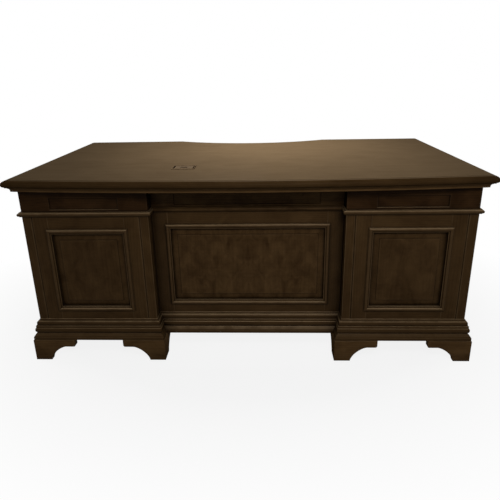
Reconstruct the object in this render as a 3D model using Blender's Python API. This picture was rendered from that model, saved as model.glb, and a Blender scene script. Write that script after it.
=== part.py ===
"""Executive desk with two drawer pedestals, a bowed top and a recessed modesty panel.

The visitor's side faces -Y and the user's side, with the drawers, faces +Y.
X runs along the desk, Z is up, and the origin is on the floor at the middle of the desk.
Walls are modelled flat on the bench, with Z as their outward side, and are then stood up.
"""

import math

import bmesh
import bpy
from mathutils import Matrix, Vector

# Top
TOP_LENGTH = 1.830
END_DEPTH = 0.915
DESK_HEIGHT = 0.785
BOW_RISE = 0.045
KNEE_CURVE_RISE = 0.090
KNEE_CURVE_MARGIN = 0.005
TOP_OVERHANG = 0.039
TOP_THICKNESS = 0.031
SUB_TOP_THICKNESS = 0.020
ARC_STEPS = 20
END_STEPS = 3

# Edge of the top: thumbnail above the lip, quarter round below it
ARRIS_INSET = 0.020
ARRIS_FILLET = 0.0015
LIP_DROP = 0.0165
UNDER_ROUND_INSET = 0.009
UNDER_ROUND_END = 0.028
ROUND_STEPS = 6
HALF_ROUND_STEPS = 8

# Edge of the sub-top: fillet, cove, second fillet and a shallow underside slope
COVE_START_INSET = 0.016
COVE_END_INSET = 0.023
COVE_FILLET = 0.003
COVE_DROP = 0.0145
COVE_LOWER_FILLET = 0.002
SOFFIT_INSET = 0.033

# Case
PEDESTAL_WIDTH = 0.496
MODESTY_SETBACK = 0.055
BOARD = 0.020
POST = 0.036
GROOVE_DEPTH = 0.003
FRIEZE_HEIGHT = 0.0935
BASE_HEIGHT = 0.0875
BOTTOM_BOARD = 0.018
SEAT_GAP = 0.0003

# Bed moulding under the edge of the sub-top
BED_HEIGHT = 0.009
BED_PROJECTION = 0.010
BED_ROUND = 0.004
BED_LET_IN = 0.003

# Mouldings applied to the case
ASTRAGAL_HEIGHT = 0.0185
ASTRAGAL_FILLET = 0.00225
ASTRAGAL_NECK = 0.0065
ASTRAGAL_PROJECTION = 0.0125
BASE_PROJECTION = 0.0285
BASE_NOSE_INSET = 0.0025
BASE_NOSE_TOP = 0.012
BASE_NOSE_EASE = 0.0018
BASE_SLOPE_FOOT = 0.016
BASE_SLOPE_INSET = 0.0125
BASE_SLOPE_TOP = 0.0275
BASE_QUIRK_INSET = 0.014
BASE_BEAD_FOOT = 0.032
BASE_BEAD_INSET = 0.0097
BASE_BEAD_MIDDLE = 0.0415
BASE_BEAD_TOP = 0.0515
BASE_BAND_INSET = 0.0135
BASE_BAND_TOP = 0.0605
BASE_NECK_INSET = 0.0175
BASE_NECK_TOP = 0.0705
BASE_OGEE_INSET = 0.0222
BASE_OGEE_MIDDLE = 0.0788
BASE_CAP_INSET = 0.027
BASE_CAP_TOP = 0.086
BASE_TONGUE = 0.009

# Framed and raised panels
STILE_SHOW = 0.050
RAIL_SHOW_BELOW = 0.0365
RAIL_SHOW_ABOVE = 0.0535
PANEL_MOULD_WIDTH = 0.020
PANEL_MOULD_LAP = 0.013
PANEL_MOULD_FILLET = 0.002
PANEL_MOULD_EDGE = 0.003
PANEL_MOULD_CREST = 0.009
PANEL_MOULD_INNER_FLAT = 0.005
PANEL_TONGUE_DEPTH = 0.011
PANEL_BACK_DEPTH = 0.018
BEVEL_WIDTH = 0.027
BEVEL_END_DEPTH = 0.0055
FIELD_STEP_WIDTH = 0.0008
FIELD_DEPTH = 0.0035

# Sunk panels of the frieze
FRIEZE_PANEL_INSET = 0.114
CENTRE_PANEL_INSET = 0.090
FRIEZE_PANEL_FOOT = 0.0165
FRIEZE_PANEL_HEIGHT = 0.048
FRIEZE_PANEL_DEPTH = 0.005
FRIEZE_PANEL_SLOPE = 0.0015

# Bracket feet
FOOT_HEIGHT = 0.094
BRACKET_LENGTH = 0.175
BRACKET_THICKNESS = 0.022
FOOT_PAD = 0.066
TAB_HEIGHT = 0.031
TAB_LENGTH = 0.041
TAB_ROUND = 0.008
TAB_ROUND_STEPS = 3
BRACKET_CURVE_SHARE = 1.55
BRACKET_STEPS = 9
GLUE_BLOCK = 0.045
GLUE_BLOCK_LIFT = 0.012

# Drawer openings of a pedestal, from the base upward
REVEAL = 0.002
DUST_BOARD = 0.018
DUST_RELIEF = 0.001
GUIDE_INSET = 0.010
GUIDE_HEIGHT = 0.014
FILE_OPENING_SHARE = 0.658
WAIST_TOP_RAIL = 0.011

# Drawers
FRONT_THICKNESS = 0.020
FRONT_EDGE_DEPTH = 0.0045
FRONT_BEVEL_WIDTH = 0.018
FRONT_STEP_WIDTH = 0.0008
FRONT_STEP_DEPTH = 0.0015
DRAWER_FRONT_PANEL_INSET = 0.045
DRAWER_FRONT_PANEL_MARGIN = 0.013
SIDE_BOARD = 0.012
DRAWER_BOTTOM = 0.006
DRAWER_BOTTOM_LIFT = 0.008
RUNNING_GAP = 0.0005
GUIDE_GAP = 0.001
FRIEZE_BOX_HEADROOM = 0.021
BOX_HEADROOM = 0.036
FRIEZE_BOX_DEPTH = 0.480
UPPER_BOX_DEPTH = 0.560
FILE_BOX_DEPTH = 0.600
CENTRE_BOX_HEIGHT = 0.048
CENTRE_BOX_REACH = 0.480
RUNNER_LEDGE = 0.014
RUNNER_THICKNESS = 0.008
RUNNER_LENGTH = 0.500
RUNNER_CLEARANCE = 0.003
RUNNER_WALL_HEIGHT = 0.030
CENTRE_RUNNER_LIFT = 0.0095

# Pulls
PULL_SPAN = 0.096
PULL_REACH = 0.028
PULL_BAR_RADIUS = 0.0042
PULL_FOOT_RADIUS = 0.0085
PULL_SIDES = 10
PULL_STEPS = 14
PULL_FLARE_SHARE = 0.22

# Power unit let into the top
POWER_FROM_PEDESTAL = 0.122
POWER_Y = -0.2395
POWER_WIDTH = 0.092
POWER_DEPTH = 0.062
POWER_RIM = 0.007
POWER_RIM_HEIGHT = 0.003
POWER_WALL = 0.002
POWER_BODY_DROP = 0.070
POWER_INSERT_DROP = 0.0015
POWER_SLOT_WIDTH = 0.030
POWER_SLOT_DEPTH = 0.020
POWER_SLOT_SINK = 0.012

CUT_OVERRUN = 0.010
JOINT_DEPTH = 0.004
WELD_DISTANCE = 0.00003
CREASE_ANGLE = math.radians(32)

# Heights above the floor
SUB_TOP_TOP = DESK_HEIGHT - TOP_THICKNESS
CASE_TOP = SUB_TOP_TOP - SUB_TOP_THICKNESS
WAIST = CASE_TOP - FRIEZE_HEIGHT
BASE_TOP = FOOT_HEIGHT + BASE_HEIGHT
ASTRAGAL_FOOT = WAIST - ASTRAGAL_HEIGHT / 2
ASTRAGAL_TOP = WAIST + ASTRAGAL_HEIGHT / 2
FLOOR_OF_CASE = FOOT_HEIGHT + SEAT_GAP
PANEL_FOOT = BASE_TOP + RAIL_SHOW_BELOW
PANEL_TOP = ASTRAGAL_FOOT - RAIL_SHOW_ABOVE

# Places in plan
USER_LIP = (END_DEPTH + BOW_RISE) / 2
VISITOR_LIP = USER_LIP - END_DEPTH
USER_FACE = USER_LIP - TOP_OVERHANG
VISITOR_FACE = VISITOR_LIP + TOP_OVERHANG
MODESTY_FACE = VISITOR_FACE + MODESTY_SETBACK
OUTER_FACE = TOP_LENGTH / 2 - TOP_OVERHANG
KNEE_FACE = OUTER_FACE - PEDESTAL_WIDTH
PEDESTAL_X = (OUTER_FACE + KNEE_FACE) / 2
CASE_DEPTH = USER_FACE - VISITOR_FACE
CASE_Y = (USER_FACE + VISITOR_FACE) / 2
FRONT_SPAN = PEDESTAL_WIDTH - 2 * POST
END_SPAN = CASE_DEPTH - 2 * POST
SIDE_REACH = CASE_DEPTH / 2 - BOARD - SEAT_GAP
DUST_REACH = PEDESTAL_WIDTH / 2 - BOARD - SEAT_GAP
LET_IN = SEAT_GAP / 2
WALL_FOOT = FLOOR_OF_CASE + BOTTOM_BOARD + SEAT_GAP
KNEE_SPAN = 2 * KNEE_FACE
POWER_X = POWER_FROM_PEDESTAL - KNEE_FACE

# The circle that the concave user's edge and the centre drawer follow
KNEE_HALF_CHORD = KNEE_FACE + KNEE_CURVE_MARGIN
KNEE_RADIUS = (KNEE_HALF_CHORD ** 2 + KNEE_CURVE_RISE ** 2) / (2 * KNEE_CURVE_RISE)
KNEE_CENTRE_Y = USER_LIP - KNEE_CURVE_RISE + KNEE_RADIUS

FACING_VISITOR = (math.pi / 2, 0, 0)
FACING_USER = (math.pi / 2, 0, math.pi)
FACING_RIGHT = (math.pi / 2, 0, math.pi / 2)
FACING_LEFT = (math.pi / 2, 0, -math.pi / 2)

# Base colour, roughness and metallic value of each finish
DARK_WOOD = ((0.060, 0.034, 0.020), 0.38, 0.0)
TOP_WOOD = ((0.105, 0.064, 0.040), 0.30, 0.0)
DRAWER_WOOD = ((0.42, 0.27, 0.15), 0.55, 0.0)
AGED_BRASS = ((0.32, 0.22, 0.10), 0.38, 1.0)
DARK_PLASTIC = ((0.025, 0.022, 0.020), 0.45, 0.0)


def clear_scene():
    for item in list(bpy.data.objects):
        bpy.data.objects.remove(item, do_unlink=True)


def make_material(name, finish):
    colour, roughness, metallic = finish
    material = bpy.data.materials.new(name)
    material.use_nodes = True
    shader = material.node_tree.nodes["Principled BSDF"]
    shader.inputs["Base Color"].default_value = (*colour, 1.0)
    shader.inputs["Roughness"].default_value = roughness
    shader.inputs["Metallic"].default_value = metallic
    return material


def add_empty(name, location, parent=None):
    empty = bpy.data.objects.new(name, None)
    empty.location = location
    empty.parent = parent
    bpy.context.collection.objects.link(empty)
    return empty


def add_object(name, mesh, finish, location=(0, 0, 0), turn=(0, 0, 0), parent=None):
    """Link one named sub-part that has its own material."""
    item = bpy.data.objects.new(name, mesh)
    item.location = location
    item.rotation_euler = turn
    item.parent = parent
    if not mesh.materials:
        mesh.materials.append(None)
    bpy.context.collection.objects.link(item)
    item.material_slots[0].link = "OBJECT"
    item.material_slots[0].material = make_material(name, finish)
    return item


def finish_mesh(name, bm):
    """Turn the faces outward, shade the rounds smooth and return the mesh."""
    bmesh.ops.recalc_face_normals(bm, faces=bm.faces)
    mesh = bpy.data.meshes.new(name)
    bm.to_mesh(mesh)
    bm.free()
    mesh.shade_smooth()
    mesh.set_sharp_from_angle(angle=CREASE_ANGLE)
    return mesh


def mirror_in_x(bm):
    bmesh.ops.transform(bm, matrix=Matrix.Scale(-1, 4, Vector((1, 0, 0))), verts=bm.verts)


def combine(item, operation, tool_mesh, location=(0, 0, 0), turn=(0, 0, 0)):
    """Cut a hidden tool shape out of an object, or join it to the object."""
    tool = bpy.data.objects.new(tool_mesh.name, tool_mesh)
    tool.location = location
    tool.rotation_euler = turn
    tool.parent = item.parent
    tool.display_type = "WIRE"
    tool.hide_render = True
    bpy.context.collection.objects.link(tool)
    change = item.modifiers.new(operation.lower(), "BOOLEAN")
    change.operation = operation
    change.solver = "EXACT"
    change.object = tool


def add_box(bm, low, high):
    corners = bmesh.ops.create_cube(bm, size=1)["verts"]
    low, high = Vector(low), Vector(high)
    size = high - low
    for corner in corners:
        corner.co = (low + high) / 2 + Vector(a * b for a, b in zip(corner.co, size))


def add_prism(bm, outline, start, end, axis):
    """Extrude a closed outline along X, Y or Z; its points are on the other two axes."""
    rings = []
    for station in (start, end):
        ring = []
        for a, b in outline:
            place = [a, b]
            place.insert("XYZ".index(axis), station)
            ring.append(bm.verts.new(place))
        rings.append(ring)
    bm.faces.new(rings[0])
    bm.faces.new(rings[1])
    join_rings(bm, rings[0], rings[1])


def join_rings(bm, first, second):
    count = len(first)
    for index in range(count):
        after = (index + 1) % count
        bm.faces.new((first[index], first[after], second[after], second[index]))


def quarter_round(start, end, bulge_at_start, steps=ROUND_STEPS):
    """Quarter ellipse from start to end that leaves start along the first axis if asked."""
    points = []
    for step in range(steps + 1):
        angle = math.pi / 2 * step / steps
        lead, trail = math.sin(angle), 1 - math.cos(angle)
        share_a, share_b = (lead, trail) if bulge_at_start else (trail, lead)
        points.append((start[0] + (end[0] - start[0]) * share_a,
                       start[1] + (end[1] - start[1]) * share_b))
    return points


def mitres(path, closed, before=None, after=None):
    """Vector at each point that moves an outline outward by one unit.

    Outward is to the right of the way of travel. At an open end the neighbouring
    run's direction sets the mitre, and without one the end is cut square.
    """
    count = len(path)
    directions = [(path[(i + 1) % count] - path[i]).normalized() for i in range(count)]
    vectors = []
    for index in range(count):
        arriving = directions[index - 1]
        leaving = directions[index]
        if not closed and index == 0:
            arriving = before or leaving
        if not closed and index == count - 1:
            leaving = after or arriving
        first = Vector((arriving.y, -arriving.x))
        second = Vector((leaving.y, -leaving.x))
        vectors.append((first + second) / (1 + first.dot(second)))
    return vectors


def add_run(bm, path, profile, closed=False, before=None, after=None):
    """Sweep a closed profile of (outward, height) points along a path in plan."""
    path = [Vector(point) for point in path]
    vectors = mitres(path, closed, before, after)
    rings = []
    for point, vector in zip(path, vectors):
        ring = []
        for outward, height in profile:
            place = point + vector * outward
            ring.append(bm.verts.new((place.x, place.y, height)))
        rings.append(ring)
    for first, second in zip(rings, rings[1:]):
        join_rings(bm, first, second)
    if closed:
        join_rings(bm, rings[-1], rings[0])
    else:
        bm.faces.new(rings[0])
        bm.faces.new(rings[-1])


def add_slab(bm, path, edge):
    """Solid board with the outline of a path and an edge of (outward, height) points."""
    path = [Vector(point) for point in path]
    vectors = mitres(path, True)
    rings = []
    for outward, height in edge:
        ring = []
        for point, vector in zip(path, vectors):
            place = point + vector * outward
            ring.append(bm.verts.new((place.x, place.y, height)))
        rings.append(ring)
    for lower, upper in zip(rings, rings[1:]):
        join_rings(bm, lower, upper)
    bm.faces.new(rings[0])
    bm.faces.new(rings[-1])


def rectangle(left, right, low, high):
    """Corners in counter-clockwise order, so that outward is to the right."""
    return [(left, low), (right, low), (right, high), (left, high)]


def spread(start, end, steps):
    """Evenly spaced values from start to end, both included."""
    return [start + (end - start) * step / steps for step in range(steps + 1)]


def knee_curve_y(x, setback):
    """Where the concave edge, moved in from the lip by setback, crosses x."""
    return KNEE_CENTRE_Y - math.sqrt((KNEE_RADIUS + setback) ** 2 - x ** 2)


def bow_points():
    """Lip of the top along the visitor's side, from the left end to the right one."""
    half = TOP_LENGTH / 2
    radius = (half ** 2 + BOW_RISE ** 2) / (2 * BOW_RISE)
    centre_y = VISITOR_LIP - BOW_RISE + radius
    return [(x, centre_y - math.sqrt(radius ** 2 - x ** 2)) for x in spread(-half, half, ARC_STEPS)]


def top_outline():
    """Lip of the top: bowed on the visitor's side, drawn in over the kneehole."""
    half = TOP_LENGTH / 2
    knee = [(x, knee_curve_y(x, 0)) for x in spread(KNEE_HALF_CHORD, -KNEE_HALF_CHORD, ARC_STEPS)]
    return bow_points() + [(half, USER_LIP)] + knee + [(-half, USER_LIP)]


def make_top():
    under = DESK_HEIGHT - TOP_THICKNESS
    lip = DESK_HEIGHT - LIP_DROP
    edge = [(-UNDER_ROUND_INSET, under)]
    edge += quarter_round((-UNDER_ROUND_INSET, DESK_HEIGHT - UNDER_ROUND_END), (0, lip), True)
    edge += quarter_round((0, lip), (-ARRIS_INSET, DESK_HEIGHT - ARRIS_FILLET), False)[1:]
    edge.append((-ARRIS_INSET, DESK_HEIGHT))
    bm = bmesh.new()
    add_slab(bm, top_outline(), edge)
    top = add_object("desk_top", finish_mesh("desk_top", bm), TOP_WOOD)

    upper = SUB_TOP_TOP - SEAT_GAP
    cove_top = SUB_TOP_TOP - COVE_FILLET
    cove_foot = SUB_TOP_TOP - COVE_DROP
    edge = [(-SOFFIT_INSET, CASE_TOP), (-COVE_END_INSET, cove_foot - COVE_LOWER_FILLET)]
    edge += quarter_round((-COVE_END_INSET, cove_foot), (-COVE_START_INSET, cove_top), False)
    edge.append((-COVE_START_INSET, upper))
    bm = bmesh.new()
    add_slab(bm, top_outline(), edge)
    sub_top = add_object("sub_top", finish_mesh("sub_top", bm), DARK_WOOD)
    half = TOP_LENGTH / 2
    bm = bmesh.new()
    add_run(bm, [(-half, USER_FACE)] + bow_points() + [(half, USER_FACE)], bed_profile())
    combine(sub_top, "UNION", finish_mesh("bed_moulding", bm))
    for board in (top, sub_top):
        bm = bmesh.new()
        half_x = POWER_WIDTH / 2 - POWER_RIM
        half_y = POWER_DEPTH / 2 - POWER_RIM
        add_box(bm, (-half_x, -half_y, CASE_TOP - CUT_OVERRUN),
                (half_x, half_y, DESK_HEIGHT + CUT_OVERRUN))
        combine(board, "DIFFERENCE", finish_mesh(board.name + "_hole", bm), (POWER_X, POWER_Y, 0))


def make_power_unit():
    """Rimmed tray in the top, and the socket block that it holds."""
    place = (POWER_X, POWER_Y, DESK_HEIGHT + SEAT_GAP)
    half_x, half_y = POWER_WIDTH / 2, POWER_DEPTH / 2
    neck = POWER_RIM + SEAT_GAP
    profile = [(-neck - POWER_WALL, -POWER_BODY_DROP), (-neck, -POWER_BODY_DROP), (-neck, 0), (0, 0),
               (0, POWER_RIM_HEIGHT / 2), (-POWER_RIM_HEIGHT / 2, POWER_RIM_HEIGHT),
               (-neck - POWER_WALL, POWER_RIM_HEIGHT)]
    bm = bmesh.new()
    add_run(bm, rectangle(-half_x, half_x, -half_y, half_y), profile, closed=True)
    add_object("power_bezel", finish_mesh("power_bezel", bm), DARK_PLASTIC, place)

    inset = neck + POWER_WALL + SEAT_GAP
    top = POWER_RIM_HEIGHT - POWER_INSERT_DROP
    bm = bmesh.new()
    add_box(bm, (inset - half_x, inset - half_y, -POWER_BODY_DROP), (half_x - inset, half_y - inset, top))
    insert = add_object("power_insert", finish_mesh("power_insert", bm), DARK_PLASTIC, place)
    bm = bmesh.new()
    add_box(bm, (-POWER_SLOT_WIDTH / 2, -POWER_SLOT_DEPTH / 2, top - POWER_SLOT_SINK),
            (POWER_SLOT_WIDTH / 2, POWER_SLOT_DEPTH / 2, top + CUT_OVERRUN))
    combine(insert, "DIFFERENCE", finish_mesh("power_slot", bm), place)


def bed_profile():
    """Small round under the soffit, let a little way into it; outward is from the lip."""
    foot, top = CASE_TOP - BED_HEIGHT, CASE_TOP + BED_LET_IN
    back, out = SEAT_GAP - TOP_OVERHANG, BED_PROJECTION - TOP_OVERHANG
    nose = quarter_round((out - BED_ROUND, foot), (out, CASE_TOP), True)
    return [(back, top), (back, foot)] + nose + [(out, top)]


def astragal_profile():
    """Half round between two fillets."""
    half_round = ASTRAGAL_HEIGHT / 2 - ASTRAGAL_FILLET
    points = [(SEAT_GAP, ASTRAGAL_FOOT), (ASTRAGAL_NECK, ASTRAGAL_FOOT)]
    for angle in spread(-math.pi / 2, math.pi / 2, HALF_ROUND_STEPS):
        bulge = (ASTRAGAL_PROJECTION - ASTRAGAL_NECK) * math.cos(angle)
        points.append((ASTRAGAL_NECK + bulge, WAIST + half_round * math.sin(angle)))
    return points + [(ASTRAGAL_NECK, ASTRAGAL_TOP), (SEAT_GAP, ASTRAGAL_TOP)]


def base_profile():
    """Torus, quirk, fascia, scotia and a rounded cap, from the feet upward."""
    def out(inset, height):
        return BASE_PROJECTION - inset, FOOT_HEIGHT + height

    points = [(SEAT_GAP, FLOOR_OF_CASE), (BASE_PROJECTION - BASE_NOSE_INSET, FLOOR_OF_CASE)]
    points += [out(BASE_NOSE_INSET, BASE_NOSE_TOP), out(BASE_NOSE_INSET + BASE_NOSE_EASE, BASE_SLOPE_FOOT)]
    points += [out(BASE_SLOPE_INSET, BASE_SLOPE_TOP), out(BASE_QUIRK_INSET, BASE_SLOPE_TOP)]
    points += [out(BASE_QUIRK_INSET, BASE_BEAD_FOOT)]
    points += quarter_round(out(BASE_BAND_INSET, BASE_BEAD_FOOT),
                            out(BASE_BEAD_INSET, BASE_BEAD_MIDDLE), True)
    points += quarter_round(out(BASE_BEAD_INSET, BASE_BEAD_MIDDLE),
                            out(BASE_BAND_INSET, BASE_BEAD_TOP), False)[1:]
    points += [out(BASE_BAND_INSET, BASE_BAND_TOP), out(BASE_NECK_INSET, BASE_BAND_TOP)]
    points += quarter_round(out(BASE_NECK_INSET, BASE_NECK_TOP),
                            out(BASE_OGEE_INSET, BASE_OGEE_MIDDLE), False)
    points += quarter_round(out(BASE_OGEE_INSET, BASE_OGEE_MIDDLE),
                            out(BASE_CAP_INSET, BASE_CAP_TOP), True)[1:]
    return points + [(SEAT_GAP, BASE_TOP)]


def pedestal_path(wrap_knee_side):
    """Right pedestal's plan from the modesty wall, round the case to the user's side."""
    path = [(KNEE_FACE, MODESTY_FACE - SEAT_GAP), (KNEE_FACE, VISITOR_FACE), (OUTER_FACE, VISITOR_FACE),
            (OUTER_FACE, USER_FACE), (KNEE_FACE, USER_FACE)]
    if wrap_knee_side:
        path.append((KNEE_FACE, MODESTY_FACE + BOARD + SEAT_GAP))
    return path


def add_pedestal_run(bm, profile, wrap_knee_side):
    add_run(bm, pedestal_path(wrap_knee_side), profile, before=Vector((1, 0)))


def add_centre_run(bm, profile):
    """Length across the modesty wall, mitred into the pedestals' returns."""
    end = KNEE_FACE - SEAT_GAP
    add_run(bm, [(-end, MODESTY_FACE), (end, MODESTY_FACE)], profile,
            before=Vector((0, 1)), after=Vector((0, -1)))


def tongued(profile, low, high, depth):
    """A profile with a tongue on its back that runs into the board behind it."""
    return profile + [(SEAT_GAP, high), (-depth, high), (-depth, low), (SEAT_GAP, low)]


def make_case_mouldings():
    bm = bmesh.new()
    add_centre_run(bm, base_profile())
    add_object("centre_base_moulding", finish_mesh("centre_base_moulding", bm), DARK_WOOD)
    for side, mirrored in (("right", False), ("left", True)):
        name = side + "_astragal"
        bm = bmesh.new()
        add_pedestal_run(bm, astragal_profile(), False)
        if mirrored:
            mirror_in_x(bm)
        add_object(name, finish_mesh(name, bm), DARK_WOOD)

        name = side + "_base"
        bm = bmesh.new()
        board_top = FLOOR_OF_CASE + BOTTOM_BOARD
        add_box(bm, (KNEE_FACE, VISITOR_FACE, FLOOR_OF_CASE), (OUTER_FACE, USER_FACE, board_top))
        if mirrored:
            mirror_in_x(bm)
        base = add_object(name, finish_mesh(name, bm), DARK_WOOD)
        bm = bmesh.new()
        tongue_foot = FLOOR_OF_CASE + (BOTTOM_BOARD - BASE_TONGUE) / 2
        profile = tongued(base_profile(), tongue_foot, tongue_foot + BASE_TONGUE, JOINT_DEPTH)
        add_pedestal_run(bm, profile, True)
        if mirrored:
            mirror_in_x(bm)
        combine(base, "UNION", finish_mesh(side + "_base_moulding", bm))


def make_frame(name, half, span, grooved, location, turn, parent=None):
    """Stiles and rails in one: an opening for the panel and V grooves beside the corners."""
    opening = span / 2 - STILE_SHOW - PANEL_MOULD_LAP
    bm = bmesh.new()
    add_box(bm, (-half, WALL_FOOT, -BOARD), (half, WAIST - SEAT_GAP, 0))
    frame = add_object(name, finish_mesh(name, bm), DARK_WOOD, location, turn, parent)
    bm = bmesh.new()
    add_box(bm, (-opening, PANEL_FOOT + PANEL_MOULD_LAP, -BOARD - CUT_OVERRUN),
            (opening, PANEL_TOP - PANEL_MOULD_LAP, CUT_OVERRUN))
    if grooved:
        wide = GROOVE_DEPTH + CUT_OVERRUN
        for side in (-1, 1):
            centre = side * span / 2
            outline = [(centre, -GROOVE_DEPTH), (centre + wide, CUT_OVERRUN), (centre - wide, CUT_OVERRUN)]
            add_prism(bm, outline, WALL_FOOT - CUT_OVERRUN, WAIST + CUT_OVERRUN, "Y")
    combine(frame, "DIFFERENCE", finish_mesh(name + "_cuts", bm), location, turn)


def add_raised_panel(bm, span):
    """Fielded panel that fills the frame's opening, with its bevel starting under the moulding."""
    half = span / 2 - STILE_SHOW - PANEL_MOULD_LAP - SEAT_GAP
    low = PANEL_FOOT + PANEL_MOULD_LAP + SEAT_GAP
    high = PANEL_TOP - PANEL_MOULD_LAP - SEAT_GAP
    hidden = PANEL_MOULD_WIDTH - PANEL_MOULD_LAP - SEAT_GAP
    edge = [(0, -PANEL_BACK_DEPTH), (0, -PANEL_TONGUE_DEPTH), (-hidden, -PANEL_TONGUE_DEPTH),
            (-hidden - BEVEL_WIDTH, -BEVEL_END_DEPTH),
            (-hidden - BEVEL_WIDTH - FIELD_STEP_WIDTH, -FIELD_DEPTH)]
    add_slab(bm, rectangle(-half, half, low, high), edge)


def add_panel_moulding(bm, span):
    """Mitred moulding that laps the frame and holds the panel's edge."""
    half = span / 2 - STILE_SHOW
    leg = PANEL_MOULD_LAP + SEAT_GAP
    crest = []
    start = PANEL_MOULD_FILLET
    width = PANEL_MOULD_WIDTH - PANEL_MOULD_INNER_FLAT - start
    for angle in spread(0, math.pi, HALF_ROUND_STEPS):
        inset = start + width * (1 - math.cos(angle)) / 2
        crest.append((-inset, PANEL_MOULD_EDGE + (PANEL_MOULD_CREST - PANEL_MOULD_EDGE) * math.sin(angle)))
    profile = [(0, SEAT_GAP), (0, PANEL_MOULD_EDGE)] + crest
    profile += [(-PANEL_MOULD_WIDTH, PANEL_MOULD_EDGE), (-PANEL_MOULD_WIDTH, SEAT_GAP - PANEL_TONGUE_DEPTH),
                (-leg, SEAT_GAP - PANEL_TONGUE_DEPTH), (-leg, SEAT_GAP)]
    add_run(bm, rectangle(-half, half, PANEL_FOOT, PANEL_TOP), profile, closed=True)


def wall_mesh(name, add_shape, span):
    bm = bmesh.new()
    add_shape(bm, span)
    return finish_mesh(name, bm)


def make_modesty_wall():
    place = (0, MODESTY_FACE, 0)
    half = KNEE_FACE - SEAT_GAP
    make_frame("modesty_frame", half, KNEE_SPAN, False, place, FACING_VISITOR)
    for name, add_shape in (("modesty_panel", add_raised_panel), ("modesty_moulding", add_panel_moulding)):
        add_object(name, wall_mesh(name, add_shape, KNEE_SPAN), DARK_WOOD, place, FACING_VISITOR)
    bm = bmesh.new()
    add_box(bm, (-half, WAIST, -BOARD), (half, CASE_TOP - SEAT_GAP, 0))
    frieze = add_object("centre_frieze", finish_mesh("centre_frieze", bm), DARK_WOOD, place, FACING_VISITOR)
    cutter = sunk_panel_mesh("centre_frieze_cut", half - CENTRE_PANEL_INSET)
    combine(frieze, "DIFFERENCE", cutter, place, FACING_VISITOR)
    bm = bmesh.new()
    add_centre_run(bm, tongued(astragal_profile(), WAIST + SEAT_GAP, ASTRAGAL_TOP, LET_IN))
    combine(frieze, "UNION", finish_mesh("centre_frieze_mouldings", bm))


def sunk_panel_mesh(name, half):
    """Tool shape, lying flat, that sinks a shallow panel with sloping sides into the frieze."""
    slope = FRIEZE_PANEL_SLOPE
    rise = CUT_OVERRUN * slope / FRIEZE_PANEL_DEPTH
    low = WAIST + FRIEZE_PANEL_FOOT
    bm = bmesh.new()
    add_slab(bm, rectangle(-half, half, low, low + FRIEZE_PANEL_HEIGHT),
             [(-slope, -FRIEZE_PANEL_DEPTH), (rise, CUT_OVERRUN)])
    return finish_mesh(name, bm)


def make_frieze(side, sign, parent):
    """Upper band of a pedestal, with sunk panels and the centre drawer's runner."""
    half = PEDESTAL_WIDTH / 2
    name = side + "_frieze"
    end = CASE_Y + SIDE_REACH
    corners = [(-half, end), (-half, VISITOR_FACE), (half, VISITOR_FACE), (half, end)]
    top = CASE_TOP - SEAT_GAP
    bm = bmesh.new()
    add_run(bm, corners, [(-BOARD, WAIST), (0, WAIST), (0, top), (-BOARD, top)])
    frieze = add_object(name, finish_mesh(name, bm), DARK_WOOD, parent=parent)

    bm = bmesh.new()
    add_centre_runner(bm, sign)
    combine(frieze, "UNION", finish_mesh(side + "_centre_runner", bm))
    cutter = sunk_panel_mesh(name + "_front_cut", half - FRIEZE_PANEL_INSET)
    combine(frieze, "DIFFERENCE", cutter, (0, VISITOR_FACE, 0), FACING_VISITOR)
    cutter = sunk_panel_mesh(name + "_end_cut", CASE_DEPTH / 2 - FRIEZE_PANEL_INSET)
    combine(frieze, "DIFFERENCE", cutter, (sign * half, CASE_Y, 0), FACING_RIGHT if sign > 0 else FACING_LEFT)


def add_centre_runner(bm, sign):
    """Strip with a ledge on the kneehole side of the frieze, under the centre drawer's side."""
    foot = ASTRAGAL_TOP + REVEAL + CENTRE_RUNNER_LIFT
    ledge_top = foot + RUNNER_THICKNESS
    wall_top = ledge_top + RUNNER_WALL_HEIGHT
    near = knee_curve_y(0, TOP_OVERHANG + FRONT_THICKNESS)
    face = PEDESTAL_WIDTH / 2
    ledge = RUNNER_THICKNESS + RUNNER_LEDGE
    outline = [(-JOINT_DEPTH, foot), (ledge, foot), (ledge, ledge_top), (RUNNER_THICKNESS, ledge_top),
               (RUNNER_THICKNESS, wall_top), (-JOINT_DEPTH, wall_top)]
    add_prism(bm, [(-sign * (face + out), z) for out, z in outline], near - RUNNER_LENGTH, near, "Y")


def bracket_outline():
    """One face of a bracket foot: pad on the floor, curved rise, tab with a rounded end."""
    rise_end = BRACKET_LENGTH - TAB_LENGTH
    tab_foot = FOOT_HEIGHT - TAB_HEIGHT
    power = BRACKET_CURVE_SHARE
    points = [(0, 0), (FOOT_PAD, 0)]
    for step in range(1, BRACKET_STEPS + 1):
        angle = math.pi / 2 * step / BRACKET_STEPS
        along = math.cos(angle) ** (2 / power)
        upward = math.sin(angle) ** (2 / power)
        points.append((rise_end - (rise_end - FOOT_PAD) * along, tab_foot * upward))
    round_start = (BRACKET_LENGTH - TAB_ROUND, tab_foot)
    points += quarter_round(round_start, (BRACKET_LENGTH, tab_foot + TAB_ROUND), True, TAB_ROUND_STEPS)
    return points + [(BRACKET_LENGTH, FOOT_HEIGHT), (0, FOOT_HEIGHT)]


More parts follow.
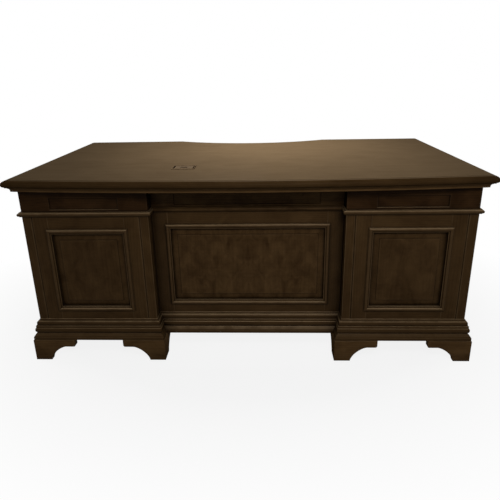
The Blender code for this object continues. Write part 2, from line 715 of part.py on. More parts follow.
def make_feet(side, parent):
    """Four bracket feet: one shape, turned to each corner, with a glue block behind its brackets."""
    outline = bracket_outline()
    bm = bmesh.new()
    for along_x in (True, False):
        rings = []
        for depth in (0, BRACKET_THICKNESS):
            ring = []
            for along, height in outline:
                run = max(along, depth)
                a, b = (run, depth) if along_x else (depth, run)
                ring.append(bm.verts.new((a, b, height)))
            rings.append(ring)
        bm.faces.new(rings[0])
        bm.faces.new(rings[1])
        for index in range(len(outline) - 1):
            bm.faces.new((rings[0][index], rings[0][index + 1], rings[1][index + 1], rings[1][index]))
    bmesh.ops.remove_doubles(bm, verts=bm.verts, dist=WELD_DISTANCE)
    foot_mesh = finish_mesh("bracket_foot", bm)
    bm = bmesh.new()
    near = BRACKET_THICKNESS - JOINT_DEPTH
    far = BRACKET_THICKNESS + GLUE_BLOCK
    add_box(bm, (near, near, GLUE_BLOCK_LIFT), (far, far, FOOT_HEIGHT - SEAT_GAP))
    block_mesh = finish_mesh("glue_block", bm)
    reach_x = PEDESTAL_WIDTH / 2 + BASE_PROJECTION
    reach_y = CASE_DEPTH / 2 + BASE_PROJECTION
    corners = ((-1, -1, "visitor_left"), (1, -1, "visitor_right"), (1, 1, "user_right"), (-1, 1, "user_left"))
    for quarter, (x_sign, y_sign, place_name) in enumerate(corners):
        place = (x_sign * reach_x, CASE_Y + y_sign * reach_y, 0)
        turn = (0, 0, quarter * math.pi / 2)
        foot = add_object(f"{side}_foot_{place_name}", foot_mesh, DARK_WOOD, place, turn, parent)
        combine(foot, "UNION", block_mesh, place, turn)


def dust_board_levels():
    """Foot and top of each dust board: below the file drawer, between the drawers, at the waist."""
    divider = BASE_TOP + FILE_OPENING_SHARE * (ASTRAGAL_FOOT - BASE_TOP - DUST_BOARD)
    return ((BASE_TOP - DUST_BOARD, BASE_TOP), (divider, divider + DUST_BOARD),
            (ASTRAGAL_FOOT, ASTRAGAL_TOP))


def make_drawer_frame(side, parent):
    """User's face frame of a pedestal, with the dust boards and guides that carry the drawers."""
    half = PEDESTAL_WIDTH / 2
    inner = FRONT_SPAN / 2
    levels = dust_board_levels()
    openings = [(floor, ceiling) for _, floor, ceiling, _, _ in drawer_plan()]
    name = side + "_drawer_frame"
    bm = bmesh.new()
    add_box(bm, (-half, USER_FACE - BOARD, WALL_FOOT), (half, USER_FACE, CASE_TOP - SEAT_GAP))
    frame = add_object(name, finish_mesh(name, bm), DARK_WOOD, parent=parent)
    bm = bmesh.new()
    for floor, ceiling in openings:
        add_box(bm, (-inner, USER_FACE - BOARD - CUT_OVERRUN, floor),
                (inner, USER_FACE + CUT_OVERRUN, ceiling))
    combine(frame, "DIFFERENCE", finish_mesh(side + "_drawer_openings", bm))

    near, far = VISITOR_FACE + BOARD + SEAT_GAP, USER_FACE - BOARD + JOINT_DEPTH
    bm = bmesh.new()
    for foot, top in levels:
        add_box(bm, (-DUST_REACH, near, foot + DUST_RELIEF), (DUST_REACH, far, top))
    combine(frame, "UNION", finish_mesh(side + "_dust_boards", bm))
    bm = bmesh.new()
    guide_end = USER_FACE - FRONT_THICKNESS - GUIDE_GAP
    for _, top in levels:
        for sign in (-1, 1):
            xs = sorted((sign * (DUST_REACH - DUST_RELIEF), sign * (inner - GUIDE_INSET)))
            add_box(bm, (xs[0], near + DUST_RELIEF, top - JOINT_DEPTH),
                    (xs[1], guide_end, top + GUIDE_HEIGHT))
    combine(frame, "UNION", finish_mesh(side + "_guides", bm))


def make_pedestals():
    half = PEDESTAL_WIDTH / 2
    for side, sign, end_turn in (("left", -1, FACING_LEFT), ("right", 1, FACING_RIGHT)):
        pedestal = add_empty(side + "_pedestal", (sign * PEDESTAL_X, 0, 0))
        walls = (("front", FRONT_SPAN, half, (0, VISITOR_FACE, 0), FACING_VISITOR),
                 ("end", END_SPAN, SIDE_REACH, (sign * half, CASE_Y, 0), end_turn))
        for wall, span, reach, place, turn in walls:
            name = f"{side}_{wall}"
            make_frame(name + "_frame", reach, span, True, place, turn, pedestal)
            for part_name, add_shape in (("panel", add_raised_panel), ("moulding", add_panel_moulding)):
                mesh = wall_mesh(f"{name}_{part_name}", add_shape, span)
                add_object(f"{name}_{part_name}", mesh, DARK_WOOD, place, turn, pedestal)
        bm = bmesh.new()
        xs = sorted((-sign * half, sign * (BOARD - half)))
        add_box(bm, (xs[0], CASE_Y - SIDE_REACH, WALL_FOOT), (xs[1], CASE_Y + SIDE_REACH, WAIST - SEAT_GAP))
        add_object(side + "_inner_side", finish_mesh(side + "_inner_side", bm), DARK_WOOD, parent=pedestal)
        make_frieze(side, sign, pedestal)
        make_drawer_frame(side, pedestal)
        make_feet(side, pedestal)


def tray_edge(height):
    """Edge of a drawer box: bottom let in above the sides' feet, four walls, open top."""
    floor = DRAWER_BOTTOM_LIFT + DRAWER_BOTTOM
    return [(-SIDE_BOARD, DRAWER_BOTTOM_LIFT), (-SIDE_BOARD, 0), (0, 0), (0, height),
            (-SIDE_BOARD, height), (-SIDE_BOARD, floor)]


def add_pull(bm, centre_height):
    """Bow pull, lying on its back: a bar whose ends flare into round feet."""
    rings = []
    for step in range(PULL_STEPS + 1):
        angle = math.pi * step / PULL_STEPS
        across = -PULL_SPAN / 2 * math.cos(angle)
        outward = SEAT_GAP + PULL_REACH * math.sin(angle)
        from_end = min(step, PULL_STEPS - step) / PULL_STEPS
        flare = max(0, 1 - from_end / PULL_FLARE_SHARE) ** 2
        radius = PULL_BAR_RADIUS + (PULL_FOOT_RADIUS - PULL_BAR_RADIUS) * flare
        tangent = Vector((PULL_SPAN / 2 * math.sin(angle), 0, PULL_REACH * math.cos(angle))).normalized()
        normal = Vector((tangent.z, 0, -tangent.x))
        ring = []
        for side in range(PULL_SIDES):
            turn = 2 * math.pi * side / PULL_SIDES
            offset = normal * math.cos(turn) + Vector((0, math.sin(turn), 0))
            ring.append(bm.verts.new(Vector((across, centre_height, outward)) + offset * radius))
        rings.append(ring)
    for first, second in zip(rings, rings[1:]):
        join_rings(bm, first, second)
    bm.faces.new(rings[0])
    bm.faces.new(rings[-1])


def front_edge():
    return [(0, -FRONT_THICKNESS), (0, -FRONT_EDGE_DEPTH),
            (-FRONT_BEVEL_WIDTH, -FRONT_STEP_DEPTH), (-FRONT_BEVEL_WIDTH - FRONT_STEP_WIDTH, 0)]


def add_frieze_front(bm, half, height):
    """Drawer front with the same sunk panel as the frieze."""
    inset, margin = DRAWER_FRONT_PANEL_INSET, DRAWER_FRONT_PANEL_MARGIN
    slope = FRIEZE_PANEL_SLOPE
    levels = ((rectangle(-half, half, 0, height), -FRONT_THICKNESS),
              (rectangle(-half, half, 0, height), 0),
              (rectangle(inset - half, half - inset, margin, height - margin), 0),
              (rectangle(inset + slope - half, half - inset - slope, margin + slope, height - margin - slope),
               -FRIEZE_PANEL_DEPTH))
    rings = [[bm.verts.new((a, b, level)) for a, b in corners] for corners, level in levels]
    for first, second in zip(rings, rings[1:]):
        join_rings(bm, first, second)
    bm.faces.new(rings[0])
    bm.faces.new(rings[-1])


def drawer_plan():
    """Kind of each drawer in a pedestal, its opening, its box's depth and the headroom above the box."""
    base, divider, waist = dust_board_levels()
    return (("file_drawer", base[1], divider[0], FILE_BOX_DEPTH, BOX_HEADROOM),
            ("upper_drawer", divider[1], waist[0], UPPER_BOX_DEPTH, BOX_HEADROOM),
            ("frieze_drawer", waist[1], CASE_TOP - WAIST_TOP_RAIL, FRIEZE_BOX_DEPTH, FRIEZE_BOX_HEADROOM))


def make_pedestal_drawers():
    box_width = FRONT_SPAN - 2 * (GUIDE_INSET + GUIDE_GAP)
    front_half = FRONT_SPAN / 2 - REVEAL
    for kind, floor, ceiling, depth, headroom in drawer_plan():
        height = ceiling - floor - 2 * REVEAL
        bm = bmesh.new()
        if kind == "frieze_drawer":
            add_frieze_front(bm, front_half, height)
        else:
            add_slab(bm, rectangle(-front_half, front_half, 0, height), front_edge())
        front_mesh = finish_mesh(kind + "_front", bm)
        bm = bmesh.new()
        plan = rectangle(-box_width / 2, box_width / 2, -SEAT_GAP - depth, -SEAT_GAP)
        add_slab(bm, plan, tray_edge(ceiling - floor - headroom))
        box_mesh = finish_mesh(kind + "_box", bm)
        bm = bmesh.new()
        add_pull(bm, height / 2)
        pull_mesh = finish_mesh(kind + "_pull", bm)
        for side, sign in (("left", -1), ("right", 1)):
            name = f"{side}_{kind}"
            drawer = add_empty(name, (sign * PEDESTAL_X, USER_FACE, floor + REVEAL))
            add_object(name + "_front", front_mesh, DARK_WOOD, turn=FACING_USER, parent=drawer)
            lift = RUNNING_GAP - REVEAL
            add_object(name + "_box", box_mesh, DRAWER_WOOD, (0, -FRONT_THICKNESS, lift), parent=drawer)
            seat = (0, -FRIEZE_PANEL_DEPTH, 0) if kind == "frieze_drawer" else (0, 0, 0)
            add_object(name + "_pull", pull_mesh, AGED_BRASS, seat, FACING_USER, drawer)


def centre_front_mesh(half, height):
    """Drawer front that follows the concave edge of the top, with a sunk panel."""
    margin, slope = DRAWER_FRONT_PANEL_MARGIN, FRIEZE_PANEL_SLOPE
    panel = half - CENTRE_PANEL_INSET
    right_end = [(x, False) for x in spread(panel, half, END_STEPS)]
    left_end = [(-x, False) for x, _ in reversed(right_end)]
    stations = left_end + [(x, True) for x in spread(-panel, panel, ARC_STEPS)] + right_end
    rings = []
    bm = bmesh.new()
    for x, sunk in stations:
        depth = FRIEZE_PANEL_DEPTH if sunk else 0
        section = [(FRONT_THICKNESS, 0), (0, 0), (0, margin), (depth, margin + slope)]
        section += [(inward, height - z) for inward, z in reversed(section)]
        ring = []
        for inward, z in section:
            ring.append(bm.verts.new((x, knee_curve_y(x, TOP_OVERHANG + inward), z)))
        rings.append(ring)
    for first, second in zip(rings, rings[1:]):
        join_rings(bm, first, second)
    bm.faces.new(rings[0])
    bm.faces.new(rings[-1])
    bmesh.ops.remove_doubles(bm, verts=bm.verts, dist=WELD_DISTANCE)
    return finish_mesh("centre_drawer_front", bm)


def centre_box_mesh():
    """Shallow box whose front wall follows the curved drawer front."""
    reach = KNEE_FACE - RUNNER_THICKNESS - RUNNER_CLEARANCE
    behind_front = TOP_OVERHANG + FRONT_THICKNESS + SEAT_GAP
    far = knee_curve_y(0, behind_front) - CENTRE_BOX_REACH
    path = [(-reach, far), (reach, far)]
    path += [(x, knee_curve_y(x, behind_front)) for x in spread(reach, -reach, ARC_STEPS)]
    bm = bmesh.new()
    add_slab(bm, path, tray_edge(CENTRE_BOX_HEIGHT))
    return finish_mesh("centre_drawer_box", bm)


def make_centre_drawer():
    foot = ASTRAGAL_TOP + REVEAL
    height = CASE_TOP - REVEAL - foot
    face_y = knee_curve_y(0, TOP_OVERHANG)
    drawer = add_empty("centre_drawer", (0, face_y, foot))
    add_object("centre_drawer_front", centre_front_mesh(KNEE_FACE - REVEAL, height), DARK_WOOD,
               (0, -face_y, 0), parent=drawer)
    box_foot = CENTRE_RUNNER_LIFT + RUNNER_THICKNESS + RUNNING_GAP
    add_object("centre_drawer_box", centre_box_mesh(), DRAWER_WOOD, (0, -face_y, box_foot), parent=drawer)
    bm = bmesh.new()
    add_pull(bm, height / 2)
    pull_seat = knee_curve_y(PULL_SPAN / 2 + PULL_FOOT_RADIUS, TOP_OVERHANG + FRIEZE_PANEL_DEPTH) - face_y
    add_object("centre_drawer_pull", finish_mesh("centre_drawer_pull", bm), AGED_BRASS,
               (0, pull_seat, 0), FACING_USER, drawer)


def main():
    clear_scene()
    make_top()
    make_power_unit()
    make_case_mouldings()
    make_modesty_wall()
    make_pedestals()
    make_pedestal_drawers()
    make_centre_drawer()


if __name__ == "__main__":
    main()
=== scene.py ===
"""Executive desk: finished woodwork, power unit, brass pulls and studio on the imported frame.

Walls are drawn flat, with Z as their outward side, and are then stood up. Each mesh carries two
attributes for its finish: "grain", a place in the timber measured along, across and into the
grain, and "arris", which is 1 on a sharp outer edge and below 0 in a hollow.
"""

import math
import random

import bmesh
import bpy
from mathutils import Euler, Matrix, Vector


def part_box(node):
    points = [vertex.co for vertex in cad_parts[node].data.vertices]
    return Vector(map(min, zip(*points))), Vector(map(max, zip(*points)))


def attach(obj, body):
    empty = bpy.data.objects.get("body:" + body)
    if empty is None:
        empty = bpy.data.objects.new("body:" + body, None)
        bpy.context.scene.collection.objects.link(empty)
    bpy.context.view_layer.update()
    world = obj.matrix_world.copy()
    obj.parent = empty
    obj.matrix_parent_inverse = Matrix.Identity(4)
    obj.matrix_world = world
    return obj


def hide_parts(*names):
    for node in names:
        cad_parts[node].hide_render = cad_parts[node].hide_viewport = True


bl_info = {
    "name": "Executive desk",
    "version": (1, 0, 0),
    "blender": (4, 5, 0),
    "location": "3D View > Sidebar > Desk",
    "description": "Builds the finished pieces of a double-pedestal executive desk",
    "category": "Object",
}

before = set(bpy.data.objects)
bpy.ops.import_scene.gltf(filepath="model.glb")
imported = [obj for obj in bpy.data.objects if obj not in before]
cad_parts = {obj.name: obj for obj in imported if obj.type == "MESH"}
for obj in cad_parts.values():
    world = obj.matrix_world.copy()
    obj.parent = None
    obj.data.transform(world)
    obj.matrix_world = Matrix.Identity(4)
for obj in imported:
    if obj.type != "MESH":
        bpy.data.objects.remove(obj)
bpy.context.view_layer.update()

SIDES = (("left", -1), ("right", 1))
FACING_VISITOR = Euler((math.pi / 2, 0, 0)).to_matrix().to_4x4()
FACING_USER = Euler((math.pi / 2, 0, math.pi)).to_matrix().to_4x4()
FACING_RIGHT = Euler((math.pi / 2, 0, math.pi / 2)).to_matrix().to_4x4()
FACING_LEFT = Euler((math.pi / 2, 0, -math.pi / 2)).to_matrix().to_4x4()

# Places that the frame settles
TOP_LOW, TOP_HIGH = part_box("desk_top")
SUB_LOW, SUB_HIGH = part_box("sub_top")
END_LOW, END_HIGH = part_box("right_end_frame")
FRIEZE_LOW, FRIEZE_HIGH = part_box("right_frieze")
BASE_LOW, BASE_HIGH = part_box("right_base")
FOOT_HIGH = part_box("right_foot_user_right")[1]
PANEL_LOW, PANEL_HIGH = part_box("right_front_moulding")
ASTRAGAL_LOW, ASTRAGAL_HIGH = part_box("right_astragal")
FRAME_LOW, FRAME_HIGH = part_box("right_drawer_frame")
DESK_HEIGHT = TOP_HIGH.z
HALF_LENGTH = TOP_HIGH.x
USER_LIP = TOP_HIGH.y
SEAT_GAP = 0.0003
CASE_TOP = FRIEZE_HIGH.z + SEAT_GAP
WAIST = FRIEZE_LOW.z
VISITOR_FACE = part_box("right_front_frame")[0].y
MODESTY_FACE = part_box("modesty_frame")[0].y
USER_FACE = FRAME_HIGH.y
OUTER_FACE = END_HIGH.x
KNEE_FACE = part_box("right_inner_side")[0].x
WALL_FOOT = END_LOW.z
PANEL_FOOT, PANEL_TOP = PANEL_LOW.z, PANEL_HIGH.z
PEDESTAL_X = (OUTER_FACE + KNEE_FACE) / 2
PEDESTAL_HALF = (OUTER_FACE - KNEE_FACE) / 2
CASE_Y = (USER_FACE + VISITOR_FACE) / 2
CASE_HALF_DEPTH = (USER_FACE - VISITOR_FACE) / 2

# Working of edges: guard lines beside an arris, reach of its exposure, angles of a corner and a crease
GUARD = 0.0035
EXPOSURE_REACH = 0.0018
FULL_EXPOSURE = math.radians(60)
CORNER = math.radians(20)
CREASE = math.radians(42)
MOST_EASED = 0.4

# Seam between boards, gap behind a moulding, and overrun of a cutter
HAIRLINE = 0.00012
BACK_GAP = 0.0001
CUT_OVERRUN = 0.01

# Edge of the top, and of the board under it with its bed moulding
LIP_DROP = 0.0165
ARRIS_INSET = 0.020
ARRIS_FILLET = 0.0015
UNDER_INSET = 0.009
UNDER_FOOT = 0.028
UNDER_FLAT = 0.030
LIP_FINISH = 0.0025
COVE_HEAD_INSET = 0.016
COVE_FOOT_INSET = 0.023
COVE_FILLET = 0.003
COVE_DROP = 0.0145
LOWER_FILLET = 0.002
SOFFIT_INSET = 0.033
BED_PROJECTION = 0.010
BED_HEIGHT = 0.009
BED_ROUND = 0.004
BED_LET_IN = 0.003

# Power unit
RIM_SEAT = 0.0002
RIM_BODY = 0.0092
RIM_NECK = 0.0074
RIM_EDGE = 0.0012
RIM_SLOPE = 0.0016
RIM_FLAT = 0.0030
RIM_FALL = 0.0036
RIM_EASE = 0.0004
WELL_LENGTH = 0.0094
LID_EASE = 0.0009
LID_FLAT = 0.014
HOLE_MARGIN = 0.0026
SLOT_HALF_LENGTH = 0.0145
SLOT_HALF_WIDTH = 0.0095
SLOT_DEPTH = 0.012

# Frames, panels, friezes and astragals
GROOVE = 0.003
MOULD_EDGE = 0.003
MOULD_FILLET = 0.002
MOULD_FLAT = 0.005
PANEL_TONGUE = 0.011
PANEL_BACK = 0.018
BEVEL_HEAD = 0.0055
FIELD_STEP = 0.0008
FRIEZE_FOOT = 0.0165
FRIEZE_SLOPE = 0.0015
ASTRAGAL_FILLET = 0.00225
ASTRAGAL_NECK = 0.0065

# Turns of the base's section: inset from the nose, and height over the feet
NOSE = (0, 0.012)
SLOPE_FOOT = (0.0018, 0.016)
SLOPE_HEAD = (0.010, 0.0275)
QUIRK_FOOT = (0.0115, 0.0275)
QUIRK_HEAD = (0.0115, 0.032)
BEAD_FOOT = (0.011, 0.032)
BEAD_CROWN = (0.0072, 0.0415)
BEAD_HEAD = (0.011, 0.0515)
BAND = (0.011, 0.0605)
NECK_FOOT = (0.015, 0.0605)
NECK_HEAD = (0.015, 0.0705)
OGEE = (0.0197, 0.0788)
CAP = (0.0245, 0.086)

# Feet
TAB_ROUND = 0.008
BLOCK = 0.045
BLOCK_LIFT = 0.012

# Ledges, boards and guides behind the drawers
LEDGE_LIFT = 0.0115
LEDGE_HEIGHT = 0.038
LEDGE_THICKNESS = 0.008
LEDGE_REACH = 0.022
LEDGE_LENGTH = 0.500
BASE_BOARD = 0.018
DUST_BOARD = 0.016
GUIDE_HEIGHT = 0.014
GUIDE_WIDTH = 0.010
GUIDE_STOP = 0.0212

# Drawers
REVEAL = 0.002
FRONT_EDGE = 0.0045
FRONT_BEVEL = 0.018
FRONT_STEP = 0.0015
SUNK_INSET = 0.045
SUNK_MARGIN = 0.013
PULL_SEAT = 0.0003
PULL_FLARE = 0.22


def length(name, default, description):
    return bpy.props.FloatProperty(name=name, description=description, default=default, min=0, unit="LENGTH",
                                   precision=4)


def colour(name, default, description):
    return bpy.props.FloatVectorProperty(name=name, description=description, default=default, size=3, min=0,
                                         max=1, subtype="COLOR")


def share(name, default, description):
    return bpy.props.FloatProperty(name=name, description=description, default=default, min=0, soft_max=1,
                                   subtype="FACTOR")


def watts(name, default, description):
    return bpy.props.FloatProperty(name=name, description=description, default=default, min=0, unit="POWER")


class DeskSizes(bpy.types.PropertyGroup):
    bow_rise: length("Bow", 0.045, "Rise of the visitor's edge at the middle")
    knee_rise: length("Knee curve", 0.090, "How far the user's edge is drawn in over the kneehole")
    knee_margin: length("Knee curve margin", 0.005, "How far the curve runs over each pedestal")
    overhang: length("Overhang", 0.039, "From the case to the lip of the top")
    board: length("Board", 0.020, "Thickness of the case's boards")
    ease: length("Eased edge", 0.0009, "How far sharp edges are sanded round")
    post: length("Post", 0.036, "Width of the corner post beside the groove")
    stile_show: length("Stile", 0.050, "Stile left showing beside the panel moulding")
    mould_lap: length("Moulding lap", 0.013, "How far the panel moulding covers the frame")
    mould_width: length("Moulding width", 0.020, "Width of the panel moulding")
    mould_crest: length("Moulding crest", 0.009, "Height of the moulding's round")
    bevel_width: length("Panel bevel", 0.027, "Width of the panel's sloping border")
    field_depth: length("Field depth", 0.0035, "Depth of the field below the frame's face")
    frieze_inset: length("Frieze panel inset", 0.114, "From a pedestal's corner to the sunk panel")
    centre_inset: length("Centre panel inset", 0.090, "From the pedestal to the middle sunk panel")
    frieze_height: length("Frieze panel height", 0.048, "Height of the sunk panel")
    frieze_depth: length("Frieze panel depth", 0.005, "Depth of the sunk panel")
    foot_height: length("Foot height", 0.094, "Height of a bracket foot")
    bracket_length: length("Bracket length", 0.175, "Length of each face of a foot")
    bracket_thickness: length("Bracket thickness", 0.022, "Thickness of a bracket")
    pad: length("Foot pad", 0.066, "Length of the foot on the floor")
    tab_height: length("Tab height", 0.031, "Height of the tab at the bracket's end")
    tab_length: length("Tab length", 0.041, "Length of the tab at the bracket's end")
    front: length("Drawer front", 0.020, "Thickness of a drawer front")
    side: length("Drawer side", 0.012, "Thickness of a drawer's sides")
    bottom: length("Drawer bottom", 0.006, "Thickness of a drawer's bottom")
    bottom_lift: length("Bottom lift", 0.008, "How high the bottom is let in")
    pull_span: length("Pull span", 0.096, "Between the feet of a pull")
    pull_reach: length("Pull reach", 0.028, "How far a pull stands out")
    pull_bar: length("Pull bar radius", 0.0042, "Radius of the bar")
    pull_foot: length("Pull foot radius", 0.0085, "Radius of a pull's foot")


class Finishes(bpy.types.PropertyGroup):
    case_light: colour("Case, light figure", (0.064, 0.0355, 0.0136), "Lighter figure of the stained case")
    case_dark: colour("Case, dark figure", (0.0265, 0.0132, 0.0044), "Darker figure of the stained case")
    # Painted light: the top's stain is the case's stain made several times lighter, for the light and sheen
    # that fall on the top.
    lit_top_light: colour("Top, light figure", (0.153, 0.104, 0.058), "Lighter figure of the top")
    lit_top_dark: colour("Top, dark figure", (0.102, 0.067, 0.035), "Darker figure of the top")
    # Also the colour of the painted highlight on upward faces.
    rubbed: colour("Wear and painted light", (0.215, 0.145, 0.078), "Wood showing where edges are rubbed")
    drawer_light: colour("Drawer, light figure", (0.50, 0.33, 0.18), "Lighter figure of the drawer boxes")
    drawer_dark: colour("Drawer, dark figure", (0.33, 0.20, 0.10), "Darker figure of the drawer boxes")
    brass: colour("Brass", (0.36, 0.25, 0.115), "Handled brass of the pulls")
    brass_dark: colour("Brass, tarnished", (0.10, 0.068, 0.034), "Tarnish in the pulls' hollows")
    # Painted shade: near-black for the shade in the wells between the lid's ends and the rim.
    plastic: colour("Plastic", (0.016, 0.011, 0.007), "Wells at the ends of the power unit")
    rim: colour("Rim", (0.092, 0.062, 0.036), "Moulding round the power unit")
    lid: colour("Lid", (0.120, 0.084, 0.052), "Socket block of the power unit")
    case_gloss: share("Case lacquer", 0.04, "Strength of the case's lacquer")
    top_gloss: share("Top lacquer", 0.02, "Strength of the top's lacquer")


class StudioSettings(bpy.types.PropertyGroup):
    camera_place: bpy.props.FloatVectorProperty(
        name="Camera place", description="Where the photographer stands", default=(0.0760, -1.9875, 1.1617),
        size=3, subtype="TRANSLATION")
    camera_turn: bpy.props.FloatVectorProperty(
        name="Camera turn", description="Turn right, tilt down, roll", size=3, subtype="EULER",
        default=tuple(map(math.radians, (2.146, 17.162, -1.089))))
    lens: bpy.props.FloatProperty(name="Lens", description="Focal length in mm", default=31.61, unit="CAMERA")
    shift: bpy.props.FloatVectorProperty(name="Shift", description="Sideways and upward shift of the lens",
                                         default=(-0.00102, -0.0891), size=2, precision=5, subtype="XYZ")
    sky: share("Room light", 0.22, "Level of the light from all round")
    overhead: watts("Overhead", 12, "Power of the soft box over the top")
    front: watts("Front", 15, "Power of the soft box at the visitor's side")
    back: watts("Back", 13, "Power of the soft box at the user's side")
    ends: watts("Ends", 9, "Power of the soft box at each end")


# Outlines and sections


def spread(start, end, steps):
    return [start + (end - start) * step / steps for step in range(steps + 1)]


def quarter_round(start, end, bulge_at_start, steps=14):
    """Quarter ellipse from start to end that leaves start along the first axis if asked."""
    points = []
    for step in range(steps + 1):
        angle = math.pi / 2 * step / steps
        lead, trail = math.sin(angle), 1 - math.cos(angle)
        share_a, share_b = (lead, trail) if bulge_at_start else (trail, lead)
        points.append((start[0] + (end[0] - start[0]) * share_a,
                       start[1] + (end[1] - start[1]) * share_b))
    return points


def rectangle(left, right, low, high):
    return [(left, low), (right, low), (right, high), (left, high)]


def worked(outline, ease=0.0, closed=True, steps=3):
    """Ease the corners of a section, and return its points and how exposed each of them is."""
    points = [Vector(point) for point in outline]
    count = len(points)
    eased = []
    for index, point in enumerate(points):
        at_end = not closed and index in (0, count - 1)
        arriving = point - points[index - 1]
        leaving = points[(index + 1) % count] - point
        if at_end or ease == 0 or abs(arriving.angle_signed(leaving)) < CORNER:
            eased.append(point)
            continue
        cut = min(ease, MOST_EASED * arriving.length, MOST_EASED * leaving.length)
        first = point - arriving.normalized() * cut
        last = point + leaving.normalized() * cut
        for share in spread(0, 1, steps):
            eased.append(first * (1 - share) ** 2 + point * (2 * share * (1 - share)) + last * share ** 2)
    guarded = []
    for index, point in enumerate(eased):
        guarded.append(point)
        if index == len(eased) - 1 and not closed:
            break
        step = eased[(index + 1) % len(eased)] - point
        if step.length > 3 * GUARD:
            along = step.normalized() * GUARD
            guarded += [point + along, point + step - along]
    return guarded, exposures(guarded, closed)


def exposures(points, closed):
    """Turn of the outline close to each point: above 0 on an arris, below 0 in a hollow."""
    count = len(points)
    turns, steps = [], []
    for index, point in enumerate(points):
        after = points[(index + 1) % count] - point
        steps.append(after.length)
        if not closed and index in (0, count - 1):
            turns.append(0)
        else:
            turns.append(-(point - points[index - 1]).angle_signed(after))
    found = []
    for index in range(count):
        total = turns[index]
        for way in (1, -1):
            reach, at = 0, index
            while True:
                reach += steps[at if way > 0 else at - 1]
                at += way
                if reach > EXPOSURE_REACH or (not closed and not 0 <= at < count) or at % count == index:
                    break
                at %= count
                total += turns[at]
        found.append(max(-1, min(1, total / FULL_EXPOSURE)))
    return found


def mitres(path, closed, before=None, after=None):
    """Vector at each point that moves an outline outward, to the right of the way of travel, by one unit."""
    count = len(path)
    directions = [(path[(i + 1) % count] - path[i]).normalized() for i in range(count)]
    vectors = []
    for index in range(count):
        arriving, leaving = directions[index - 1], directions[index]
        if not closed and index == 0:
            arriving = before or leaving
        if not closed and index == count - 1:
            leaving = after or arriving
        first = Vector((arriving.y, -arriving.x))
        second = Vector((leaving.y, -leaving.x))
        vectors.append((first + second) / (1 + first.dot(second)))
    return vectors


def distances(path):
    """Way along a path to each of its points."""
    far = [0.0]
    for first, second in zip(path, path[1:]):
        far.append(far[-1] + math.dist(first, second))
    return far


def new_object(name, data):
    item = bpy.data.objects.new(name, data)
    bpy.context.scene.collection.objects.link(item)
    return item


